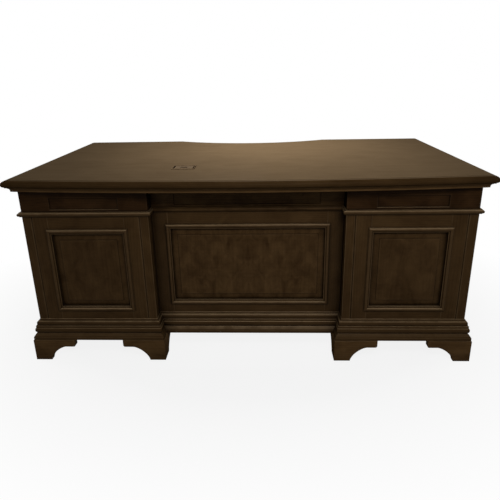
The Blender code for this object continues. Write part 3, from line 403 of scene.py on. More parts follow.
class Bench:
    """The mesh of one piece in the making, cut from its own timber."""

    def __init__(self, name, stand=None):
        self.name = name
        self.mesh = bmesh.new()
        self.grain = self.mesh.loops.layers.float_vector.new("grain")
        self.arris = self.mesh.loops.layers.float.new("arris")
        self.stand = stand or Matrix()
        self.chance = random.Random(name)

    def timber(self):
        """Where the next board was sawn from."""
        chance = self.chance.uniform
        return Vector((chance(0, 60), chance(-0.05, 0.05), chance(0.02, 0.11)))

    def skin(self, rings, mark, wood, caps=None, sawn=True):
        """Close a stack of rings into a solid; wood(ring, point, band) is a corner's place in the timber."""
        timber = self.timber() if sawn else Vector()
        corners = [[self.mesh.verts.new(self.stand @ Vector(point)) for point in ring] for ring in rings]
        count, last = len(rings[0]), len(rings) - 1
        walls = [(band, ((band, index), (band, index + 1), (band + 1, index + 1), (band + 1, index)))
                 for band in range(last) for index in range(count)]
        for cap in caps or [range(count)]:
            walls += [(end, [(end, index) for index in cap]) for end in (0, last)]
        for band, places in walls:
            face = self.mesh.faces.new([corners[ring][index % count] for ring, index in places])
            face.smooth = True
            for corner, (ring, index) in zip(face.loops, places):
                corner[self.grain] = Vector(wood(ring, index, band)) + timber
                corner[self.arris] = mark(ring, index % count)

    def length(self, section, start, end, axis, ease=0.0):
        """Straight length of a section along X, Y or Z, with the grain running along it."""
        points, exposed = worked(section, ease)
        along = "XYZ".index(axis)
        rings = [[(*point[:along], station, *point[along:]) for point in points] for station in (start, end)]
        self.skin(rings, lambda ring, index: exposed[index],
                  lambda ring, index, band: ((start, end)[ring], *points[index % len(points)]))

    def board(self, low, high, axis, ease=0.0):
        """Board between two corners, with the grain along one axis and its long edges eased."""
        along = "XYZ".index(axis)
        first, second = [index for index in range(3) if index != along]
        section = rectangle(low[first], high[first], low[second], high[second])
        self.length(section, low[along], high[along], axis, ease)

    def run(self, path, section, closed=False, before=None, after=None, ease=0.0):
        """Mitred lengths of moulding along a path, each from its own timber."""
        path = [Vector(point) for point in path]
        vectors = mitres(path, closed, before, after)
        points, exposed = worked(section, ease)
        for first in range(len(path) if closed else len(path) - 1):
            second = (first + 1) % len(path)
            way = (path[second] - path[first]).normalized()
            ends = [[path[end] + vectors[end] * outward for outward, _ in points] for end in (first, second)]
            rings = [[(*spot, height) for spot, (_, height) in zip(end, points)] for end in ends]
            places = [[((spot - path[first]).dot(way), *point) for spot, point in zip(end, points)]
                      for end in ends]
            self.skin(rings, lambda ring, index: exposed[index],
                      lambda ring, index, band: places[ring][index % len(points)])

    def bend(self, path, section, before=None, after=None, ease=0.0):
        """One length of moulding bent along a path."""
        path = [Vector(point) for point in path]
        points, exposed = worked(section, ease)
        far = distances(path)
        rings = [[(*(spot + vector * outward), height) for outward, height in points]
                 for spot, vector in zip(path, mitres(path, False, before, after))]
        self.skin(rings, lambda ring, index: exposed[index],
                  lambda ring, index, band: (far[ring], *points[index % len(points)]))

    def slab(self, path, edge, ease=0.0, wood=None, caps=None):
        """Board with the outline of a path and an edge of (outward, height) points."""
        path = [Vector(point) for point in path]
        vectors = mitres(path, True)
        points, exposed = worked(edge, ease, closed=False)
        rings = [[(*(spot + vector * outward), height) for spot, vector in zip(path, vectors)]
                 for outward, height in points]

        def place(ring, index, band):
            return wood(rings, ring, index, band) if wood else rings[ring][index % len(path)]

        self.skin(rings, lambda ring, index: exposed[ring], place, caps)

    def sunk(self, outer, panel, depth, slope, thickness, ease):
        """Board with a shallow sunk panel; outer and panel are left, right, low and high."""
        half = ease * 0.7
        levels = ((outer, 0, -thickness, 0), (outer, 0, -GUARD, 0), (outer, 0, -ease, 0.6),
                  (outer, -half, -ease + half, 1), (outer, -ease, 0, 0.6), (outer, -GUARD, 0, 0),
                  (panel, GUARD, 0, 0), (panel, half, 0, 0.6), (panel, 0, -half / 2, 1),
                  (panel, -slope * 0.3, -half * 1.5, 0.5), (panel, -slope * 0.8, -depth * 0.8, -0.3),
                  (panel, -slope, -depth, -1), (panel, -slope - GUARD, -depth, 0))
        rings = []
        for (left, right, low, high), grown, level, _ in levels:
            corners = rectangle(left - grown, right + grown, low - grown, high + grown)
            rings.append([(*corner, level) for corner in corners])
        self.skin(rings, lambda ring, index: levels[ring][3],
                  lambda ring, index, band: rings[ring][index % 4])

    def to_object(self, name):
        """Object of all that was made on the bench."""
        bmesh.ops.recalc_face_normals(self.mesh, faces=self.mesh.faces)
        mesh = bpy.data.meshes.new(name)
        self.mesh.to_mesh(mesh)
        self.mesh.free()
        return new_object(name, mesh)

    def finish(self, materials, body="desk", slot="dark_wood"):
        """Make the finished object: give it its finishes, set it on the body it moves with and hide the node
        it stands for.
        """
        piece = self.to_object("finished_" + self.name)
        piece.data.set_sharp_from_angle(angle=CREASE)
        for name in materials.split():
            piece.data.materials.append(bpy.data.materials[name])
        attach(piece, body)
        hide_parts(self.name)
        return piece


def cut(piece, bench):
    """Cut a bench's shape out of a finished piece."""
    tool = bench.to_object(bench.name)
    change = piece.modifiers.new("cut", "BOOLEAN")
    change.operation = "DIFFERENCE"
    change.solver = "EXACT"
    change.object = tool
    bpy.context.view_layer.update()
    graph = bpy.context.evaluated_depsgraph_get()
    piece.data = bpy.data.meshes.new_from_object(piece.evaluated_get(graph), preserve_all_data_layers=True,
                                                 depsgraph=graph)
    piece.modifiers.clear()
    piece.data.set_sharp_from_angle(angle=CREASE)
    bpy.data.objects.remove(tool, do_unlink=True)


# Finishes


GREY = (0.1, 0.1, 0.1, 1.0)
# Dark brown of dust in hollows, and of the painted shade in crevices and recesses.
DUST_AND_SHADE = (0.004, 0.0025, 0.0015, 1.0)
BLACK = (0.0, 0.0, 0.0, 1.0)
WHITE = (1.0, 1.0, 1.0, 1.0)


def feed(node, inputs):
    """Give a node's inputs their values, or the signals that drive them."""
    for key, value in inputs.items():
        if isinstance(value, Signal):
            node.id_data.links.new(value.socket, node.inputs[key])
        else:
            node.inputs[key].default_value = value


def add_node(tree, kind, *values, **named):
    """New node. Bare values feed its inputs in order, Capital names by name, and other names are settings."""
    node = tree.nodes.new("ShaderNode" + kind)
    for key, value in named.items():
        if key[0].islower():
            setattr(node, key, value)
    feed(node, dict(enumerate(values)))
    feed(node, {key.replace("_", " "): value for key, value in named.items() if key[0].isupper()})
    return Signal(node.outputs[0])


class Signal:
    """An output of a shader node. Sums and products with it add Math nodes to its tree."""

    def __init__(self, socket):
        self.socket = socket
        self.tree = socket.id_data

    def at(self, output):
        return Signal(self.socket.node.outputs[output])

    def maths(self, operation, *others, clamp=False):
        return add_node(self.tree, "Math", self, *others, operation=operation, use_clamp=clamp)

    def __add__(self, other):
        return self.maths("ADD", other)

    def __sub__(self, other):
        return self.maths("SUBTRACT", other)

    def __mul__(self, other):
        return self.maths("MULTIPLY", other)

    def vector(self, operation, *others, **named):
        return add_node(self.tree, "VectorMath", self, *others, operation=operation, **named)

    def ranged(self, low, high, to_low=0.0, to_high=1.0):
        return add_node(self.tree, "MapRange", self, low, high, to_low, to_high)

    def noise(self, scale, detail=2.0, roughness=0.5, distortion=0.0):
        """Noise over a vector stretched by scale."""
        return add_node(self.tree, "TexNoise", Vector=self.vector("MULTIPLY", scale), Scale=1.0,
                        Detail=detail, Roughness=roughness, Distortion=distortion)

    def mixed(self, other, factor):
        """This colour turning into another as the factor goes from 0 to 1."""
        mix = add_node(self.tree, "Mix", factor, data_type="RGBA")
        feed(mix.socket.node, {6: self, 7: other})
        return mix.at(2)

    def bump(self, distance, strength, **named):
        return add_node(self.tree, "Bump", Height=self, Distance=distance, Strength=strength, **named)


def place_of(tree):
    return add_node(tree, "TexCoord").at("Object")


def new_group(name, takes, gives):
    """Shader node group with the inputs that it takes, at their defaults, and the outputs that it gives."""
    tree = bpy.data.node_groups.new(name, "ShaderNodeTree")
    for title, value in takes.items():
        kind = "NodeSocketFloat" if isinstance(value, float) else "NodeSocketColor"
        tree.interface.new_socket(name=title, in_out="INPUT", socket_type=kind).default_value = value
    for title in gives:
        kind = "NodeSocketColor" if title == "Color" else "NodeSocketFloat"
        tree.interface.new_socket(name=title, in_out="OUTPUT", socket_type=kind)
    given = {socket.name: Signal(socket) for socket in tree.nodes.new("NodeGroupInput").outputs}
    return tree, given, tree.nodes.new("NodeGroupOutput")


def wood_figure_group():
    """Growth rings, fibres, pores and mottle of one timber, in its own coordinates."""
    tree, given, made = new_group(
        "Wood figure", {"Light": GREY, "Dark": GREY, "Rings per Metre": 110.0, "Ring Contrast": 0.25,
                        "Mottle": 0.5, "Curl": 0.2, "Figure Scale": 1.0}, ("Color", "Height"))
    grain = add_node(tree, "Attribute", attribute_name="grain").at("Vector")
    split = add_node(tree, "SeparateXYZ", grain)
    across = grain.noise((1.3, 7.0, 7.0)) * 0.07 + split.at("Y")
    depth = grain.noise((1.9, 4.0, 4.0), 1.0) * 0.05 + split.at("Z")
    radius = add_node(tree, "CombineXYZ", 0.0, across, depth).vector("LENGTH").at("Value")
    turns = radius * given["Rings per Metre"] + grain.noise((6.0, 60.0, 60.0))
    rings = turns.maths("FRACT").maths("POWER", 2.2) * given["Ring Contrast"]
    figured = grain.vector("SCALE", Scale=given["Figure Scale"])
    mottle = (figured.noise((9.0, 13.0, 13.0), 3.0, 0.55, 0.6).ranged(0.3, 0.7) - 0.5) * given["Mottle"]
    curl = (grain.noise((75.0, 16.0, 16.0), 2.0, 0.5, 0.8) - 0.5) * given["Curl"]
    streak = grain.noise((2.5, 130.0, 130.0), 3.0, 0.6)
    fibre = grain.noise((22.0, 900.0, 900.0), 2.0, 0.6)
    pores = grain.noise((55.0, 1500.0, 1500.0), 1.0).ranged(0.60, 0.74)
    tone = streak * 0.30 + 0.39 + (fibre - 0.5) * 0.28 - rings + mottle + curl
    tone = tone.maths("SUBTRACT", pores * 0.25, clamp=True)
    feed(made, {"Color": given["Dark"].mixed(given["Light"], tone),
                "Height": fibre - pores * 0.8 - rings * 0.5})


def rubbed_edge_group():
    """Finish rubbed off on arrises and dust in hollows, both broken up, with a painted highlight on upward
    faces and painted shade in crevices and recesses.
    """
    tree, given, made = new_group(
        "Wear and painted light", {"Color": GREY, "Rubbed Color": GREY, "Rub": 0.6, "Dust": 0.5, "Upward Wear": 0.0,
                        "Grime": 0.0}, ("Color", "Rubbed"))
    exposed = add_node(tree, "Attribute", attribute_name="arris").at("Fac")
    facing = add_node(tree, "SeparateXYZ", add_node(tree, "NewGeometry").at("Normal")).at("Z")
    patchy = place_of(tree).noise((23.0, 23.0, 23.0), 3.0, 0.6).ranged(0.35, 0.62, 0.5, 1.0)
    # Painted highlight: the rub is weighted toward faces that look up, where the light from above falls.
    patchy = patchy * facing.ranged(-0.1, 0.6, 0.2, 1.0)
    # Painted highlight: upward faces take the rubbed colour, as if lit from above.
    painted_highlight = facing.ranged(0.50, 0.95) * given["Upward Wear"] * patchy
    rub = (exposed.ranged(0.25, 0.90) * patchy * given["Rub"]).maths("ADD", painted_highlight, clamp=True)
    # Painted shade: ambient occlusion over 12 mm in crevices and 11 cm in recesses darkens the colour there
    # and takes the rub away.
    crevice, recess = [add_node(tree, "AmbientOcclusion", samples=6, Distance=reach).at("AO")
                       for reach in (0.012, 0.11)]
    shaded = crevice.ranged(0.45, 0.80, 1.0, 0.0).maths("MAXIMUM", recess.ranged(0.50, 0.82, 1.0, 0.0))
    grime = shaded.maths("MULTIPLY", given["Grime"], clamp=True)
    rub = rub - rub * grime
    # Real dust in hollows and the painted shade both turn the colour toward the same dark brown.
    hollow = (exposed.ranged(-0.1, -0.9) * given["Dust"]).maths("MAXIMUM", grime, clamp=True)
    darker = given["Color"].mixed(DUST_AND_SHADE, hollow)
    # Rubbed carries the rub on arrises and the painted highlight, less where the painted shade lies.
    feed(made, {"Color": darker.mixed(given["Rubbed Color"], rub), "Rubbed": rub})


def lacquer_group():
    """Hand-rubbed lacquer: cloudy sheen, fine dust nibs and the swell left by the brush."""
    tree, given, made = new_group(
        "Rubbed lacquer", {"Roughness": 0.35, "Cloud": 0.12, "Rubbed": 0.0, "Strength": 0.2},
        ("Roughness", "Coat", "Height"))
    place = place_of(tree)
    cloud = place.noise((5.0, 5.0, 5.0), 4.0, 0.6)
    nibs = place.noise((420.0, 420.0, 420.0), 1.0)
    swell = place.noise((38.0, 60.0, 60.0))
    rough = (cloud - 0.5) * given["Cloud"] + given["Roughness"] + (nibs - 0.5) * 0.06
    feed(made, {"Roughness": rough.maths("ADD", given["Rubbed"] * 0.15, clamp=True),
                "Coat": cloud.ranged(0.25, 0.75, 0.75, 1.15) * given["Strength"],
                "Height": nibs * 0.15 + swell})


def grouped(tree, name, **inputs):
    return add_node(tree, "Group", node_tree=bpy.data.node_groups[name], **inputs)


def new_material(name):
    """Tree and main shader of a new material."""
    material = bpy.data.materials.new(name)
    material.use_nodes = True
    return material.node_tree, material.node_tree.nodes["Principled BSDF"]


def with_painted_falloff(tone, amount):
    """Painted shade: the stain darkened away from a point near the middle back of the desk, under the
    overhead soft box, as the light on the top falls off.
    """
    place = place_of(tone.tree)
    away = place.vector("SUBTRACT", (0.15, 0.28, 0.0)).vector("MULTIPLY", (1.0, 0.9, 0.0))
    reach = place.noise((2.2, 3.0, 3.0), 3.0) * 0.35 + away.vector("LENGTH").at("Value")
    return tone.mixed(BLACK, reach.ranged(0.45, 1.20, 0.0, amount))


def wood_material(name, light, dark, rubbed, gloss, rings=110.0, ring_contrast=0.2, mottle=0.5, curl=0.15,
                  rub=0.6, dust=0.5, roughness=0.42, coat_roughness=0.3, specular=0.0, grain_depth=0.00005,
                  painted_falloff=0.0, upward_wear=0.0, grime=0.8, figure_scale=1.0):
    """Stained and lacquered wood, whose coat fades where it is seen at a glancing angle."""
    tree, shader = new_material(name)
    figure = grouped(tree, "Wood figure", Light=(*light, 1), Dark=(*dark, 1), Rings_per_Metre=rings,
                     Ring_Contrast=ring_contrast, Mottle=mottle, Curl=curl, Figure_Scale=figure_scale)
    edge = grouped(tree, "Wear and painted light", Color=figure, Rubbed_Color=(*rubbed, 1), Rub=rub, Dust=dust,
                   Upward_Wear=upward_wear, Grime=grime)
    lacquer = grouped(tree, "Rubbed lacquer", Roughness=roughness, Rubbed=edge.at("Rubbed"), Strength=gloss)
    seen = add_node(tree, "LayerWeight", Blend=0.5).at("Facing").ranged(0.50, 0.88, 1.0, 0.0)
    pores = figure.at("Height").bump(grain_depth, 0.8)
    swell = lacquer.at("Height").bump(0.00008, 0.6, Normal=pores)
    # Painted shade toward the ends where painted_falloff is set.
    feed(shader, {"Base Color": with_painted_falloff(edge, painted_falloff) if painted_falloff else edge, "Roughness": lacquer,
                  "Coat Weight": lacquer.at("Coat") * seen, "Coat Roughness": coat_roughness,
                  "Specular IOR Level": specular, "Normal": swell})


def brass_material(finish):
    """Brass, bright where it is handled and tarnished in spots."""
    tree, shader = new_material("aged_brass")
    bright, dark = (*finish.brass, 1), (*finish.brass_dark, 1)
    edge = grouped(tree, "Wear and painted light", Color=dark, Rubbed_Color=bright, Rub=1.0, Dust=0.3)
    spots = place_of(tree).noise((160.0, 160.0, 160.0), 4.0, 0.65).ranged(0.42, 0.66)
    lacquer = grouped(tree, "Rubbed lacquer", Roughness=0.36, Cloud=0.25, Rubbed=spots)
    feed(shader, {"Base Color": edge.mixed(bright, 0.72).mixed(dark, spots), "Metallic": 1.0,
                  "Roughness": lacquer, "Normal": spots.bump(0.00005, 0.5)})


def plastic_material(name, shade, rubbed):
    """Moulded plastic with a fine leather grain."""
    tree, shader = new_material(name)
    edge = grouped(tree, "Wear and painted light", Color=(*shade, 1), Rubbed_Color=(*rubbed, 1), Rub=0.5, Dust=0.4)
    lacquer = grouped(tree, "Rubbed lacquer", Roughness=0.45, Cloud=0.15, Rubbed=edge.at("Rubbed"))
    leather = add_node(tree, "TexVoronoi", Vector=place_of(tree), Scale=900.0).at("Distance")
    feed(shader, {"Base Color": edge, "Roughness": lacquer, "Specular IOR Level": 0.0,
                  "Normal": leather.bump(0.00006, 0.5)})


def make_finishes(finish):
    def case_wood(name, tints=(1, 1, 1), gloss=finish.case_gloss, **looks):
        """The case's stain, tinted in red, green and blue; lighter and darker tints make lit and shaded
        copies of it, as painted light and shade.
        """
        light, dark = [[tint * value for tint, value in zip(tints, shade)]
                       for shade in (finish.case_light, finish.case_dark)]
        wood_material(name, light, dark, finish.rubbed, gloss, **looks)

    wood_figure_group()
    rubbed_edge_group()
    lacquer_group()
    case_wood("case_wood")
    case_wood("panel_wood", mottle=0.65, curl=0.25, ring_contrast=0.12, rub=0.1, dust=0.2, figure_scale=1.3)
    case_wood("figured_panel", (1.15, 1.15, 1.15), rings=60.0, mottle=0.8, curl=0.4, ring_contrast=0.1,
              rub=0.1, dust=0.2, figure_scale=1.8)
    # Painted highlight: mouldings, bases and friezes lay the rubbed colour on their upward faces.
    case_wood("moulding_wood", gloss=1.2 * finish.case_gloss, rub=1.1, mottle=0.35, curl=0.05,
              upward_wear=2.6)
    case_wood("base_wood", rub=0.8, mottle=0.35, curl=0.05, upward_wear=0.6)
    # Painted light: the feet in the case stain made 1.55 times lighter, for the light that falls on them by
    # the floor.
    case_wood("foot_wood", (1.55, 1.55, 1.55), rub=0.4, mottle=0.6, grime=0.25)
    # Painted shade: the lip of the top, the same board as the lit top, in the case's stain darkened to 0.8.
    case_wood("lip_wood", (0.8, 0.8, 0.8), finish.case_gloss / 4, rub=0.4, mottle=0.35, curl=0.05, grime=0.0)
    # Painted light: the cove and bed moulding under the top in the case's stain made 1.7 times lighter, for
    # the light that falls on them.
    case_wood("lit_band_wood", (1.7, 1.7, 1.7), rub=0.2, mottle=0.35, curl=0.05, grime=0.0)
    # Painted shade: the pedestals' friezes in a darker, redder copy of the case stain, for the shade under
    # the top's overhang.
    case_wood("frieze_wood", (0.58, 0.50, 0.46), mottle=1.0, ring_contrast=0.3, rub=0.4, upward_wear=2.2)
    case_wood("shaded_wood", mottle=1.0, ring_contrast=0.3, rub=0.1, grime=0.3)
    # Painted light: the lit copy of the stain on the top.
    wood_material("top_finish", finish.lit_top_light, finish.lit_top_dark, finish.rubbed, finish.top_gloss,
                  rings=70.0, ring_contrast=0.15, mottle=0.22, curl=0.05, rub=0.7, coat_roughness=0.26,
                  grain_depth=0.00003, painted_falloff=0.40, grime=0.0)
    wood_material("drawer_finish", finish.drawer_light, finish.drawer_dark, finish.drawer_light, gloss=0.05,
                  ring_contrast=0.35, mottle=0.3, roughness=0.55, specular=0.05, grime=0.0)
    brass_material(finish)
    plastic_material("rim_plastic", finish.rim, finish.rubbed)
    plastic_material("well_plastic", finish.plastic, finish.plastic)
    plastic_material("lid_plastic", finish.lid, finish.rubbed)


# Top and power unit


def knee_curve_y(desk, x, setback):
    """Where the concave edge, moved in from the lip by setback, crosses x."""
    half = KNEE_FACE + desk.knee_margin
    radius = (half ** 2 + desk.knee_rise ** 2) / (2 * desk.knee_rise)
    return USER_LIP - desk.knee_rise + radius - math.sqrt((radius + setback) ** 2 - x ** 2)


def bow_points(desk, steps=72):
    """Lip of the top along the visitor's side."""
    radius = (HALF_LENGTH ** 2 + desk.bow_rise ** 2) / (2 * desk.bow_rise)
    centre = TOP_LOW.y + radius
    return [(x, centre - math.sqrt(radius ** 2 - x ** 2)) for x in spread(-HALF_LENGTH, HALF_LENGTH, steps)]


def top_outline(desk, steps=72):
    """Lip of the top: bowed on the visitor's side, drawn in over the kneehole."""
    half = KNEE_FACE + desk.knee_margin
    knee = [(x, knee_curve_y(desk, x, 0)) for x in spread(half, -half, steps)]
    return bow_points(desk, steps) + [(HALF_LENGTH, USER_LIP)] + knee + [(-HALF_LENGTH, USER_LIP)]


def top_edge():
    """Edge of the top: round underside, lip, thumbnail curve, fillet and flat."""
    lip = DESK_HEIGHT - LIP_DROP
    edge = [(-UNDER_FLAT, TOP_LOW.z), (-UNDER_INSET, TOP_LOW.z)]
    edge += quarter_round((-UNDER_INSET, DESK_HEIGHT - UNDER_FOOT), (0, lip), True)
    edge += quarter_round((0, lip), (-ARRIS_INSET, DESK_HEIGHT - ARRIS_FILLET), False, 20)[1:]
    return edge + [(-ARRIS_INSET, DESK_HEIGHT), (-ARRIS_INSET - 3 * GUARD, DESK_HEIGHT)]


def sub_edge():
    """Edge of the board under the top: flat underside, fillet, cove and fillet."""
    cove_foot = SUB_HIGH.z - COVE_DROP
    edge = [(-SOFFIT_INSET - 3 * GUARD, CASE_TOP), (-SOFFIT_INSET, CASE_TOP),
            (-COVE_FOOT_INSET, cove_foot - LOWER_FILLET)]
    edge += quarter_round((-COVE_FOOT_INSET, cove_foot), (-COVE_HEAD_INSET, SUB_HIGH.z - COVE_FILLET), False)
    return edge + [(-COVE_HEAD_INSET, SUB_HIGH.z), (-COVE_HEAD_INSET - 3 * GUARD, SUB_HIGH.z)]


def bed_section(desk):
    """Bed moulding under the soffit, with its places measured from the lip."""
    foot, back, out = CASE_TOP - BED_HEIGHT, HAIRLINE - desk.overhang, BED_PROJECTION - desk.overhang
    points = [(back, CASE_TOP + BED_LET_IN), (back, foot)]
    points += quarter_round((out - BED_ROUND, foot), (out, CASE_TOP), True)
    return points + [(out, CASE_TOP + BED_LET_IN)]


def cut_power_hole(piece):
    """Cut the hole for the power unit through a board."""
    low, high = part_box("power_insert")
    hole = Bench("power_hole")
    hole.board((low.x - HOLE_MARGIN, low.y - HOLE_MARGIN, SUB_LOW.z - CUT_OVERRUN),
               (high.x + HOLE_MARGIN, high.y + HOLE_MARGIN, DESK_HEIGHT + CUT_OVERRUN), "X")
    cut(piece, hole)


def make_desk_top(desk):
    """The top, whose lip is a band with its grain along the edge."""
    outline, edge = top_outline(desk), top_edge()
    far = distances(outline + outline[:1])
    heights = [height for _, height in worked(edge, desk.ease * 0.6, closed=False)[0]]
    border = next(index for index, height in enumerate(heights) if height > DESK_HEIGHT - HAIRLINE)

    def wood(rings, ring, index, band):
        x, y, z = rings[ring][index % len(outline)]
        return (far[index], z * 1.5, y * 0.1) if 0 < band < border else (x, y, z)

    bench = Bench("desk_top")
    bench.slab(outline, edge, desk.ease * 0.6, wood)
    # The lip below LIP_FINISH takes the shaded copy of the stain and the rest takes the lit copy: painted
    # light and shade on one board.
    for face in bench.mesh.faces:
        face.material_index = int(face.calc_center_median().z < DESK_HEIGHT - LIP_FINISH)
    cut_power_hole(bench.finish("top_finish lip_wood", slot="top_wood"))


def make_sub_top(desk):
    """The board under the top, with the bed moulding along its ends and its bow."""
    bench = Bench("sub_top")
    bench.slab(top_outline(desk), sub_edge(), desk.ease * 0.5)
    bow = [Vector(point) for point in bow_points(desk)]
    section, ease = bed_section(desk), desk.ease * 0.4
    bench.run([(-HALF_LENGTH, USER_FACE), bow[0]], section, after=(bow[1] - bow[0]).normalized(), ease=ease)
    bench.bend(bow, section, Vector((0, -1)), Vector((0, 1)), ease)
    bench.run([bow[-1], (HALF_LENGTH, USER_FACE)], section, before=(bow[-1] - bow[-2]).normalized(),
              ease=ease)
    # Painted light: the board under the top takes the lit copy of the case stain.
    cut_power_hole(bench.finish("lit_band_wood"))


def make_power_unit():
    """Rimmed tray, and the socket block with its slot."""
    low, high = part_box("power_bezel")
    middle = (low + high) / 2
    stand = Matrix.Translation((middle.x, middle.y, 0))
    half_x, half_y = (high.x - low.x) / 2, (high.y - low.y) / 2
    seat, fall = DESK_HEIGHT + RIM_SEAT, high.z - RIM_EDGE
    section = [(-RIM_BODY, low.z), (-RIM_NECK, low.z), (-RIM_NECK, seat), (0, seat), (0, seat + RIM_EDGE),
               (-RIM_SLOPE, high.z), (-RIM_FLAT, high.z), (-RIM_FALL, fall), (-RIM_BODY, fall)]
    bench = Bench("power_bezel", stand)
    bench.run(rectangle(-half_x, half_x, -half_y, half_y), section, closed=True, ease=RIM_EASE)
    # Painted shade: the inner faces of the wells at the tray's ends take the near-black well colour.
    for face in bench.mesh.faces:
        place = face.calc_center_median()
        in_well = abs(place.x - middle.x) > half_x - WELL_LENGTH
        face.material_index = int(in_well and seat < place.z < high.z - RIM_EDGE / 2)
    bench.finish("rim_plastic well_plastic", slot="dark_plastic")

    low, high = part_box("power_insert")
    half_x, half_y = (high.x - low.x) / 2, (high.y - low.y) / 2
    edge = [(0, low.z), (0, high.z), (-LID_FLAT, high.z)]
    bench = Bench("power_insert", stand)
    bench.slab(rectangle(-half_x, half_x, -half_y, half_y), edge, LID_EASE)
    slot = Bench("power_slot", stand)
    slot.board((-SLOT_HALF_LENGTH, -SLOT_HALF_WIDTH, high.z - SLOT_DEPTH),
               (SLOT_HALF_LENGTH, SLOT_HALF_WIDTH, high.z + CUT_OVERRUN), "X")
    cut(bench.finish("lid_plastic", slot="dark_plastic"), slot)


# Case


def wall_stand(x, y, turn):
    return Matrix.Translation((x, y, 0)) @ turn


def sunk_frieze(bench, desk, outer, inset):
    """One face of the frieze, with its sunk panel, between left, right, low and high."""
    left, right = outer[:2]
    low = WAIST + FRIEZE_FOOT
    panel = (left + inset, right - inset, low, low + desk.frieze_height)
    bench.sunk(outer, panel, desk.frieze_depth, FRIEZE_SLOPE, desk.board, desk.ease)


def astragal_section():
    """Half round between two fillets."""
    half_round = (ASTRAGAL_HIGH.z - ASTRAGAL_LOW.z) / 2 - ASTRAGAL_FILLET
    middle = (ASTRAGAL_HIGH.z + ASTRAGAL_LOW.z) / 2
    bulge = VISITOR_FACE - ASTRAGAL_LOW.y - ASTRAGAL_NECK
    points = [(BACK_GAP, ASTRAGAL_LOW.z), (ASTRAGAL_NECK, ASTRAGAL_LOW.z)]
    for angle in spread(-math.pi / 2, math.pi / 2, 20):
        points.append((ASTRAGAL_NECK + bulge * math.cos(angle), middle + half_round * math.sin(angle)))
    return points + [(ASTRAGAL_NECK, ASTRAGAL_HIGH.z), (BACK_GAP, ASTRAGAL_HIGH.z)]


def pedestal_path(wrap_knee_side, board):
    path = [(KNEE_FACE, MODESTY_FACE - HAIRLINE), (KNEE_FACE, VISITOR_FACE), (OUTER_FACE, VISITOR_FACE),
            (OUTER_FACE, USER_FACE), (KNEE_FACE, USER_FACE)]
    if wrap_knee_side:
        path.append((KNEE_FACE, MODESTY_FACE + board))
    return path


def side_stand(sign):
    """The right pedestal as drawn, or its mirror image."""
    return Matrix.Scale(sign, 4, Vector((1, 0, 0)))


def centre_ledge(bench, desk):
    """Angled ledge in the kneehole, on which one side of the centre drawer slides."""
    foot, near = ASTRAGAL_HIGH.z + LEDGE_LIFT, knee_curve_y(desk, 0, desk.overhang + desk.front)
    face, lip = KNEE_FACE - LEDGE_THICKNESS, KNEE_FACE - LEDGE_REACH
    section = [(KNEE_FACE, foot), (KNEE_FACE, foot + LEDGE_HEIGHT), (face, foot + LEDGE_HEIGHT),
               (face, foot + LEDGE_THICKNESS), (lip, foot + LEDGE_THICKNESS), (lip, foot)]
    bench.length(section, near - LEDGE_LENGTH, near, "Y", desk.ease)


def make_friezes(desk):
    half, roof = PEDESTAL_HALF, CASE_TOP - HAIRLINE
    reach = CASE_HALF_DEPTH - desk.board - HAIRLINE
    for side, sign in SIDES:
        bench = Bench(side + "_frieze", wall_stand(sign * PEDESTAL_X, VISITOR_FACE, FACING_VISITOR))
        sunk_frieze(bench, desk, (-half, half, WAIST, roof), desk.frieze_inset)
        bench.stand = wall_stand(sign * OUTER_FACE, CASE_Y, FACING_RIGHT if sign > 0 else FACING_LEFT)
        sunk_frieze(bench, desk, (-reach, reach, WAIST, roof), desk.frieze_inset - desk.board)
        bench.stand = side_stand(sign)
        bench.board((KNEE_FACE, VISITOR_FACE + desk.board, WAIST),
                    (KNEE_FACE + desk.board, FRIEZE_HIGH.y, roof), "Y", desk.ease)
        centre_ledge(bench, desk)
        # Painted shade: the pedestal frieze takes the shaded copy of the case stain.
        bench.finish("frieze_wood")
    bench = Bench("centre_frieze", wall_stand(0, MODESTY_FACE, FACING_VISITOR))
    end = KNEE_FACE - HAIRLINE
    sunk_frieze(bench, desk, (-end, end, WAIST, roof), desk.centre_inset)
    bench.stand = Matrix()
    bench.run([(-end, MODESTY_FACE), (end, MODESTY_FACE)], astragal_section(), before=Vector((0, 1)),
              after=Vector((0, -1)), ease=desk.ease * 0.4)
    bench.finish("shaded_wood")


def make_astragals(desk):
    for side, sign in SIDES:
        bench = Bench(side + "_astragal", side_stand(sign))
        bench.run(pedestal_path(False, desk.board), astragal_section(), before=Vector((1, 0)),
                  ease=desk.ease * 0.4)
        bench.finish("moulding_wood")


def frame_wall(bench, desk, half, span, grooved):
    """Posts, stiles and rails of one wall, each a board with its own grain."""
    opening = span / 2 - desk.stile_show - desk.mould_lap
    head, back = WAIST - HAIRLINE, -desk.board
    for sign in (-1, 1):
        seam, inner, outer = sign * span / 2, sign * opening, sign * half
        sections = [[(outer, back), (inner, back), (inner, 0), (outer, 0)]]
        if grooved:
            lip, post = sign * GROOVE, seam + sign * HAIRLINE
            sections = [[(outer, back), (post, back), (post, -GROOVE), (seam + lip, 0), (outer, 0)],
                        [(seam, back), (inner, back), (inner, 0), (seam - lip, 0), (seam, -GROOVE)]]
        for section in sections:
            bench.length(section if sign < 0 else section[::-1], WALL_FOOT, head, "Y", desk.ease)
    reach = opening - HAIRLINE
    for low, high in ((WALL_FOOT, PANEL_FOOT + desk.mould_lap), (PANEL_TOP - desk.mould_lap, head)):
        bench.board((-reach, low, back), (reach, high, 0), "X", desk.ease * 0.5)


